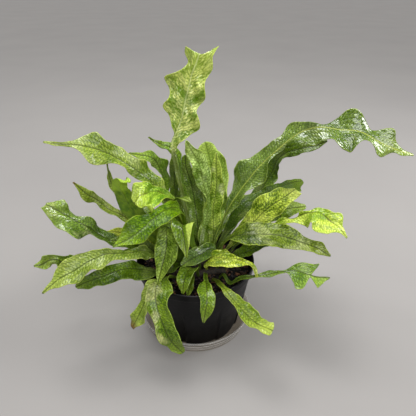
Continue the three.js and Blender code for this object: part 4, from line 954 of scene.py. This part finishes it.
def plastic_clear():
    """Clear saucer plastic: see-through, with a gloss, and painted highlights that whiten it along the tops
    of its fine ridges and on its lip, and a painted reflection that whitens it where it is seen edge on."""
    finish = Finish("saucer_clear")
    haze = finish.noise(60, 3).between(0.4, 0.8)
    height = finish.node("SeparateXYZ", None, {0: finish.place()}).beside(2) * (1 / MM)
    # Painted highlights: whitish lines along the tops of the ridges
    ridge_highlight = sine(height * (2 * math.pi / RIDGE_PITCH)).between(*RIDGE_HIGHLIGHT)
    ridge_highlight = ridge_highlight * height.between(*RIDGES_FROM)
    # Painted highlight: the lip whitened
    lip = height.between(*(SAUCER["height"] - below for below in LIP_HIGHLIGHT))
    # Painted reflection: whiter where the plastic is seen edge on
    rim = finish.node("LayerWeight", None, {"Blend": 0.5}, "Facing")
    body = finish.surface({
        "Base Color": colour(228, 227, 225),
        "Roughness": 0.08 + haze * 0.08,
        "Specular IOR Level": 1.0,
    })
    clear = finish.node("BsdfTransparent", None, {"Color": colour(240, 237, 232)})
    cover = 0.015 + rim ** 3 * 0.12 + haze * 0.02 + ridge_highlight * 0.6 + lip * 0.24
    return finish.end(finish.node("MixShader", None, {0: cover.least(0.9), 1: clear, 2: body}))


def peat():
    """Damp dark peat, with brown crumbs and a wet glint here and there."""
    finish = Finish("potting_peat")
    crumbs = finish.noise(600, 4)
    clods = finish.noise(120, 3)
    body = finish.mix(crumbs.between(0.4, 0.7), colour(2, 2, 1), colour(15, 10, 6))
    return finish.end(finish.surface({
        "Base Color": body,
        "Roughness": 0.8 + clods * 0.2,
        "Specular IOR Level": 0.15,
        "Normal": finish.bump(crumbs * 0.6 + clods, 0.0012),
    }))


def bark():
    """Red-brown bark chips, each with a shade of its own."""
    finish = Finish("bark_chip")
    grain = finish.noise(700, 3)
    shade = finish.attribute("shade")
    body = finish.mix(shade, colour(6, 4, 3), colour(112, 70, 38))
    body = finish.mix(grain.between(0.35, 0.7) * 0.5, body, colour(30, 18, 13))
    return finish.end(finish.surface({
        "Base Color": body,
        "Roughness": 0.7 + grain * 0.2,
        "Normal": finish.bump(grain, 0.0004),
    }))


def rhizome_skin():
    """Green-brown rootstock skin under golden scales."""
    finish = Finish("rhizome_skin")
    grain = finish.noise(320, 4)
    scaly = finish.attribute("scale")
    body = finish.mix(grain.between(0.35, 0.65), colour(16, 16, 8), colour(36, 30, 16))
    body = finish.mix(scaly, body, colour(58, 40, 22))
    return finish.end(finish.surface({
        "Base Color": body,
        "Roughness": 0.7 + grain * 0.15,
        "Normal": finish.bump(grain, 0.0006),
    }))


def studio_floor():
    """Plain pale grey floor."""
    finish = Finish("studio_floor")
    cloud = finish.noise(3, 2)
    body = finish.mix(cloud, colour(132, 129, 127), colour(141, 138, 135))
    return finish.end(finish.surface({"Base Color": body, "Roughness": 0.9}))


# Pot, saucer and soil

ROUNDING_STEPS = 4
LONGEST_ROUNDING = 0.45
POT_SIDES = 360
SAUCER_SIDES = 160
SOIL_SIDES = 240
SOIL_RINGS = 60
DRILL_SIDES = 24
FLUTE_START = math.radians(-61)
# A flute's crease: its depth, the shares of the flute at which it is whole and gone, and its fade in height
CREASE = dict(depth=2, sharp=0.03, out=0.8, above=6, below=14)
POT_EDGE = dict(foot=1.5, band=0.6, top=1, rim=0.8)
# Rounding of each inner corner of the pot's and the saucer's profile, and the step between their points
POT_ROUNDING = [0.6, 0.6, 2.5, 4, 4, 0.5, 0.5, 0.6, 0.6, 1, 4, 4, 2, 2]
POT_STEP = 3
SAUCER_ROUNDING = [1.2, 0.5, 0.5, 0.6, 0.4, 0.4, 0.4, 0.6, 0.5, 0.5, 0.8, 0.8]
SAUCER_STEP = 0.6
# The plug of soil: how far it keeps clear, where it steps out over the flutes, and how deep its top goes
PLUG = dict(clear=1, above=8, below=4, top=0.5)
CLODS = dict(count=5, height=0.35, turn=2.4, pitch=1.1, calm_from=0.96)


def rounded_off(profile, sizes):
    """Rounds a profile's inner corners. Each corner b becomes the curve (1-f)^2 p + 2f(1-f) b + f^2 q, with
    p and q on its two edges at the corner's size, or at a share of the edge where that is shorter."""
    points = [np.array(p, float) for p in profile]
    rounded = [points[0]]
    for before, corner, after, size in zip(points, points[1:], points[2:], sizes):
        back, on = before - corner, after - corner
        p = corner + back * min(size / np.linalg.norm(back), LONGEST_ROUNDING)
        q = corner + on * min(size / np.linalg.norm(on), LONGEST_ROUNDING)
        for f in np.linspace(0, 1, ROUNDING_STEPS + 1):
            rounded.append((1 - f) ** 2 * p + 2 * f * (1 - f) * corner + f * f * q)
    rounded.append(points[-1])
    return np.array(rounded)


def finer(profile, longest):
    """Adds even points along edges longer than longest."""
    points = [profile[0]]
    for start, stop in zip(profile, profile[1:]):
        pieces = max(1, math.ceil(np.linalg.norm(stop - start) / longest))
        points += [start + (stop - start) * k / pieces for k in range(1, pieces + 1)]
    return np.array(points)


def lathe(profile, sides):
    """A profile of [radius, height] turned about +Z: a grid of profile points by sides, and its faces. The
    profile starts and ends on the axis, where its points are drawn together into one."""
    angle = np.arange(sides) * 2 * np.pi / sides
    radius, height = profile[1:-1, 0][:, None], profile[1:-1, 1][:, None]
    grid = [radius * np.cos(angle), radius * np.sin(angle), height + 0 * angle]
    ring = np.stack(grid, -1).reshape(-1, 3)
    points = np.concatenate([ring, [[0, 0, profile[0, 1]], [0, 0, profile[-1, 1]]]])
    faces = ring_faces(len(profile) - 2, sides)
    j = np.arange(sides)
    beside = (j + 1) % sides
    last = (len(profile) - 3) * sides
    fans = np.concatenate([np.stack([np.full(sides, len(ring)), beside, j], -1),
                           np.stack([np.full(sides, len(ring) + 1), last + j, last + beside], -1)])
    return points, [faces, fans]


def wall_radius(z):
    """The pot's outer radius at a height on its straight tapered wall."""
    high = BAND_LOW - 1
    return POT["base"] + (POT["shoulder"] - POT["base"]) * (z - POT_BASE) / (high - POT_BASE)


def drill(piece, radius, ring, count, height):
    """Cuts a ring of round holes up to a height through the piece, and keeps the cut mesh."""
    turn = np.arange(count)[:, None] * 2 * np.pi / count
    around = np.arange(DRILL_SIDES) * 2 * np.pi / DRILL_SIDES
    x = (ring * np.cos(turn) + radius * np.cos(around)).ravel()
    y = (ring * np.sin(turn) + radius * np.sin(around)).ravel()
    points = np.concatenate([np.stack([x, y, np.full(len(x), z)], -1) for z in (-1.0, height)])
    rows = np.arange(count * DRILL_SIDES).reshape(count, DRILL_SIDES)
    beside = np.roll(rows, -1, 1)
    walls = np.stack([rows, beside, beside + len(x), rows + len(x)], -1).reshape(-1, 4)
    mesh = bpy.data.meshes.new("drill")
    faces = walls.tolist() + rows[:, ::-1].tolist() + (rows + len(x)).tolist()
    mesh.from_pydata((points * MM).tolist(), [], faces)
    cutter = add("drill", mesh)
    cut = piece.modifiers.new("holes", "BOOLEAN")
    cut.object = cutter
    cut.solver = "EXACT"
    piece.data = bpy.data.meshes.new_from_object(piece.evaluated_get(bpy.context.evaluated_depsgraph_get()))
    piece.modifiers.clear()
    bpy.data.objects.remove(cutter)


def pot_piece():
    """Thin turned shell with a rim band and drain holes. Each flute near its floor starts with a sharp
    crease where the wall steps in, and it comes out again evenly over most of the flute."""
    middle = POT["flutes_end"] / 2
    flutes_end = wall_radius(POT["flutes_end"])
    floor_top = POT_FLOOR + POT["floor"]
    profile = [
        (0, POT_FLOOR), (POT["foot"], POT_FLOOR), (POT["foot"] + POT_EDGE["foot"], POT_BASE),
        (POT["base"], POT_BASE),
        (wall_radius(middle), middle), (flutes_end, POT["flutes_end"]),
        (POT["shoulder"], BAND_LOW - 1), (POT["rim"] - POT_EDGE["band"], BAND_LOW),
        (POT["rim"], POT_TOP - POT_EDGE["top"]), (POT["rim"] - POT_EDGE["rim"], POT_TOP),
        (POT["rim"] - POT["rim_wall"], POT_TOP),
        (POT["shoulder"] - POT["wall"], BAND_LOW - 1),
        (flutes_end - POT["wall"], POT["flutes_end"]),
        (wall_radius(middle) - POT["wall"], middle), (POT["base"] - POT["wall"], floor_top), (0, floor_top),
    ]
    points, faces = lathe(finer(rounded_off(profile, POT_ROUNDING), POT_STEP), POT_SIDES)
    radius = np.hypot(points[:, 0], points[:, 1])
    angle = np.arctan2(points[:, 1], points[:, 0])
    past_crease = (FLUTE_START - angle) * POT["flutes"] / (2 * np.pi) % 1
    pinch = CREASE["depth"] * smooth(0, CREASE["sharp"], past_crease)
    pinch = pinch * np.clip(1 - past_crease / CREASE["out"], 0, 1)
    fade = smooth(POT["flutes_end"] + CREASE["above"], POT["flutes_end"] - CREASE["below"], points[:, 2])
    fade = fade * (radius > POT["foot"] + 2)
    points[:, :2] *= (1 - pinch * fade / np.maximum(radius, 1))[:, None]
    piece = make("nursery_pot", points, faces, plastic_black(), "black_plastic")
    drill(piece, POT["hole"], POT["hole_ring"], POT["holes"], floor_top + 1)
    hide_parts("pot")


def saucer_piece():
    """Turned clear dish: a stepped wall that slopes out to a flat lip, with a low ring on its floor. Fine
    sine-shaped ridges run around its wall and lip."""
    s = SAUCER
    slope = s["rim"] - s["lip"]
    wave = 2 * np.pi / RIDGE_PITCH
    profile = [
        (0, 0), (s["base"], 0), (s["base"] + s["step_out"], s["step"]),
        (s["base"] + 2 * s["step_out"], s["step"] + 1), (slope, s["height"] - s["lip_height"]),
        (s["rim"], s["height"] - s["lip_drop"]), (s["rim"], s["height"]), (slope - 0.6, s["height"]),
        (slope - s["wall"], s["height"] - 1.6), (s["base"] + 1, s["step"] + 1.6),
        (s["base"] - 0.4, s["step"] + 0.4), (s["base"] - 1.8, s["wall"] + 0.6), (s["base"] - 3, s["wall"]),
        (0, s["wall"]),
    ]
    fine = finer(rounded_off(profile, SAUCER_ROUNDING), SAUCER_STEP)
    outside = smooth(s["base"], s["base"] + 3, fine[:, 0]) * smooth(1, 4, fine[:, 1])
    fine[:, 0] += RIDGE * outside * np.sin(fine[:, 1] * wave)
    fine[:, 1] += RIDGE * outside * np.sin(fine[:, 0] * wave)
    points, faces = lathe(fine, SAUCER_SIDES)
    piece = make("clear_saucer", points, faces, plastic_clear(), "clear_plastic")
    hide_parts("saucer")


def soil_height(x, y):
    """Height of the soil over the floor: the part's two waves, and clods as a sum of turned sines."""
    from_axis = np.hypot(x, y) / (wall_radius(SOIL_TOP) - POT["wall"] - GAP)
    (long_x, long_y), (fine_x, fine_y) = SOIL["bump_lengths"], SOIL["fine_lengths"]
    waves = SOIL["bump"] * np.sin(x / long_x + 1) * np.cos(y / long_y)
    waves = waves + SOIL["fine_bump"] * np.sin(x / fine_x - y / fine_y)
    clods = 0
    for k in range(1, CLODS["count"] + 1):
        along = x * math.cos(CLODS["turn"] * k) + y * math.sin(CLODS["turn"] * k)
        clods = clods + CLODS["height"] / k * np.sin(along * CLODS["pitch"] * k + k)
    reach = 1 - smooth(SOIL["flat_from"], 1, from_axis)
    return SOIL_TOP + reach * waves + clods * smooth(1, CLODS["calm_from"], from_axis)


def soil_piece():
    """Plug that fills the pot's inside, with a crumbly top."""
    low = POT_FLOOR + POT["floor"] + GAP
    margin = POT["wall"] + GAP
    inside = wall_radius(SOIL_TOP) - margin
    flutes_end = wall_radius(POT["flutes_end"]) - margin
    side = [(0, low), (wall_radius(low) - margin - POT["flute_depth"] - PLUG["clear"], low),
            (flutes_end - POT["flute_depth"], POT["flutes_end"] - PLUG["below"]),
            (flutes_end, POT["flutes_end"] + PLUG["above"]), (inside, SOIL_TOP - PLUG["clear"])]
    top = [(inside * k / SOIL_RINGS, SOIL_TOP) for k in range(SOIL_RINGS, -1, -1)]
    points, faces = lathe(np.array(side + top), SOIL_SIDES)
    on_top = points[:, 2] > SOIL_TOP - PLUG["top"]
    points[on_top, 2] = soil_height(points[on_top, 0], points[on_top, 1])
    piece = make("potting_soil", points, faces, peat(), "potting_mix")
    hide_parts("potting_mix")


CHIPS = dict(seed=4, count=900, ring=68, tilt=0.35, uneven=0.25, raised=0.2)
# Half sizes of a chip: the least, and what chance adds at most
CHIP_LENGTH = (0.8, 2.4)
CHIP_WIDTH = (0.5, 1.3)
CHIP_DEPTH = (0.25, 0.35)


def turn_pair(first, second, angle):
    """Two rows of coordinates, each row turned by its angle in their plane."""
    c, s = np.cos(angle)[:, None], np.sin(angle)[:, None]
    return first * c - second * s, first * s + second * c


def chips_piece():
    """Bark chips strewn on the soil: eight-cornered flakes of random size, turn and tilt, each half sunk."""
    count = CHIPS["count"]
    random = np.random.default_rng(CHIPS["seed"])
    corners = np.array([(x, y, z) for z in (-1, 1) for x, y in ((-1, -1), (1, -1), (1, 1), (-1, 1))], float)
    sides = np.array([(3, 2, 1, 0), (4, 5, 6, 7), (0, 1, 5, 4), (1, 2, 6, 5), (2, 3, 7, 6), (3, 0, 4, 7)])
    ring = CHIPS["ring"] * np.sqrt(random.random(count))
    angle = random.random(count) * 2 * np.pi
    turn, tilt = random.random(count) * 2 * np.pi, random.normal(0, CHIPS["tilt"], count)
    size = np.stack([CHIP_LENGTH[0] + CHIP_LENGTH[1] * random.random(count) ** 2,
                     CHIP_WIDTH[0] + CHIP_WIDTH[1] * random.random(count) ** 2,
                     CHIP_DEPTH[0] + CHIP_DEPTH[1] * random.random(count)], -1)
    uneven = 1 + CHIPS["uneven"] * random.normal(0, 1, (count, 8, 3)).clip(-1, 1)
    flakes = corners[None] * size[:, None] * uneven
    x, y, z = flakes[..., 0], flakes[..., 1], flakes[..., 2]
    x, z = turn_pair(x, z, tilt)
    x, y = turn_pair(x, y, turn)
    centre_x, centre_y = ring * np.cos(angle), ring * np.sin(angle)
    centre_z = soil_height(centre_x, centre_y) + CHIPS["raised"]
    points = np.stack([x + centre_x[:, None], y + centre_y[:, None], z + centre_z[:, None]], -1)
    faces = (sides[None] + 8 * np.arange(count)[:, None, None]).reshape(-1, 4)
    shade = np.repeat(random.random(count) ** 3, 8)
    make("bark_chips", points.reshape(-1, 3), faces, bark(), "potting_mix", shaded=False, shade=shade)


ROD_SIDES = 20
ROD_STEP = 1.2
LEAST_DRAWN = 0.01
KNOTS = dict(depth=0.08, length=2.7, twist=9)
# Scales: how many each loop of the rod has, where they stand, their form, and their least and added size
SCALES = dict(seed=7, each=12, foot=0.94, half=0.5, length=2.6, rise=1.1, root=0.6)
SCALE_SIZE = (0.6, 0.8)


def tube(run, radius):
    """Round rod along a curve, its ends drawn in as half balls: loops of points around the curve, its faces,
    and the curve's own directions."""
    at, length = evenly([(x, y, SOIL_TOP + ROOTSTOCK["radius"] - ROOTSTOCK["sink"]) for x, y in run])
    shares = np.linspace(0, 1, int(length / ROD_STEP))
    middle = at(shares)
    tangent = unit(np.gradient(middle, axis=0))
    flat = unit(np.cross(tangent, [0, 0, 1]))
    up = np.cross(flat, tangent)
    from_end = np.minimum(shares, 1 - shares) * length
    drawn = np.sqrt(np.clip(1 - (1 - np.clip(from_end / radius, 0, 1)) ** 2, LEAST_DRAWN, 1))
    angle = np.arange(ROD_SIDES) * 2 * np.pi / ROD_SIDES
    swell = KNOTS["depth"] * np.sin(shares * length / KNOTS["length"])[:, None]
    knots = 1 + swell * np.cos(2 * angle + shares[:, None] * KNOTS["twist"])
    reach = (radius * drawn)[:, None] * knots
    points = (middle[:, None] + flat[:, None] * (reach * np.cos(angle))[..., None]
              + up[:, None] * (reach * np.sin(angle))[..., None])
    return points, ring_faces(len(shares), ROD_SIDES), flat, up, tangent


def scales_along(loops, flat, up, tangent, random):
    """Pointed scales that lie along a rod: four-cornered solids, each with its foot in the rod's skin."""
    count = len(loops) * SCALES["each"]
    i, angle = random.integers(0, len(loops), count), random.random(count) * 2 * np.pi
    out = flat[i] * np.cos(angle)[:, None] + up[i] * np.sin(angle)[:, None]
    foot = loops[i].mean(1) + out * (ROOTSTOCK["radius"] * SCALES["foot"])
    size = (SCALE_SIZE[0] + SCALE_SIZE[1] * random.random(count))[:, None]
    half = np.cross(tangent[i], out) * SCALES["half"] * size
    way = random.choice([-1, 1], count)[:, None]
    tip = foot + tangent[i] * SCALES["length"] * size * way + out * SCALES["rise"] * size
    scales = np.stack([foot - half, foot + half, tip, foot - out * SCALES["root"]], 1)
    inside_out = np.linalg.det(scales[:, 1:] - scales[:, :1]) > 0
    scales[inside_out] = scales[inside_out][:, [1, 0, 2, 3]]
    return scales


def rhizome_piece():
    """The creeping rods, each a closed tube, and pointed scales that lie along them."""
    random = np.random.default_rng(SCALES["seed"])
    four = np.array([(0, 1, 2), (0, 3, 1), (1, 3, 2), (2, 3, 0)])
    points, faces, scaly, total = [], [], [], 0
    for run in ROOTSTOCK_RUNS:
        loops, sides, flat, up, tangent = tube(run, ROOTSTOCK["radius"])
        rows, columns = loops.shape[:2]
        ring = np.arange(columns)
        last = (rows - 1) * columns
        caps = np.concatenate([
            np.stack([np.full(columns, rows * columns), ring, (ring + 1) % columns], -1),
            np.stack([np.full(columns, rows * columns + 1), last + (ring + 1) % columns, last + ring], -1)])
        rod = [sides[:, [2, 1, 0]], sides[:, [3, 2, 0]], caps]
        scales = scales_along(loops, flat, up, tangent, random)
        count = rows * columns + 2
        points += [loops.reshape(-1, 3), loops[[0, -1]].mean(1), scales.reshape(-1, 3)]
        faces += [np.concatenate(rod) + total]
        faces += [(four[None] + 4 * np.arange(len(scales))[:, None, None]).reshape(-1, 3) + total + count]
        scaly += [np.zeros(count), np.ones(4 * len(scales))]
        total += count + 4 * len(scales)
    piece = make("rhizome", np.concatenate(points), np.concatenate(faces), rhizome_skin(), "rootstock",
                 scale=np.concatenate(scaly))
    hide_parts("rootstock")


# Studio

# The camera in millimetres and degrees, the picture in pixels, and the floor and the lamps' aim in metres
CAMERA = dict(x=16.25, distance=503, aim=170.7, pitch=29, sensor=36)
FOCAL_PIXELS = 417
PICTURE_PIXELS = 416
FLOOR = dict(half=12, drop=0.0002)
LIGHT_AIM = (0, 0, 0.15)


def area_light(name, place, size, power):
    """A round lamp at a place in metres, turned to the plant's middle."""
    lamp = bpy.data.lights.new(name, "AREA")
    lamp.shape = "DISK"
    lamp.size = size
    lamp.energy = power
    light = add(name, lamp)
    light.location = place
    away = np.array(place) - np.array(LIGHT_AIM)
    light.rotation_euler = (math.atan2(math.hypot(away[0], away[1]), away[2]), 0,
                            math.atan2(away[0], -away[1]))


def sun_light(name, turn, spread, strength):
    """Light from far off, turned in degrees about X and Y from straight above, and spread over an angle."""
    lamp = bpy.data.lights.new(name, "SUN")
    lamp.angle = math.radians(spread)
    lamp.energy = strength
    add(name, lamp).rotation_euler = (math.radians(turn[0]), math.radians(turn[1]), 0)


def floor_piece():
    """Wide pale floor, a little under the saucer."""
    mesh = bpy.data.meshes.new("floor")
    half = FLOOR["half"]
    mesh.from_pydata([(-half, -half, 0), (half, -half, 0), (half, half, 0), (-half, half, 0)], [],
                     [(0, 1, 2, 3)])
    mesh.materials.append(studio_floor())
    ground = add("floor", mesh)
    ground.location.z = -FLOOR["drop"]


def camera_like_photograph():
    """The photograph's camera, which looks down at the plant from the front."""
    lens = bpy.data.cameras.new("camera")
    lens.sensor_width = CAMERA["sensor"]
    lens.lens = CAMERA["sensor"] * FOCAL_PIXELS / PICTURE_PIXELS
    lens.clip_start = 0.01
    lens.clip_end = 60
    camera = add("camera", lens)
    pitch = math.radians(CAMERA["pitch"])
    distance = CAMERA["distance"] * MM
    height = CAMERA["aim"] * MM + distance * math.sin(pitch)
    camera.location = (CAMERA["x"] * MM, -distance * math.cos(pitch), height)
    camera.rotation_euler = (math.pi / 2 - pitch, 0, 0)
    bpy.context.scene.camera = camera


def studio():
    """The floor, the camera, and soft light from above and from the front."""
    floor_piece()
    camera_like_photograph()
    area_light("overhead", (-0.4, 0.3, 1.65), size=0.8, power=15)
    area_light("window", (1.25, 0.1, 0.95), size=0.55, power=14)
    sun_light("sky", (-14, -14), spread=45, strength=1.7)
    sun_light("front", (48, 14), spread=42, strength=2.5)
    world = bpy.data.worlds.new("studio")
    world.use_nodes = True
    backdrop = world.node_tree.nodes["Background"]
    backdrop.inputs["Color"].default_value = (0.93, 0.96, 1, 1)
    backdrop.inputs["Strength"].default_value = 0.14
    bpy.context.scene.world = world
    bpy.context.scene.view_settings.view_transform = "Standard"


studio()
pot_piece()
saucer_piece()
soil_piece()
chips_piece()
rhizome_piece()
for row in FRONDS:
    frond_piece(row)
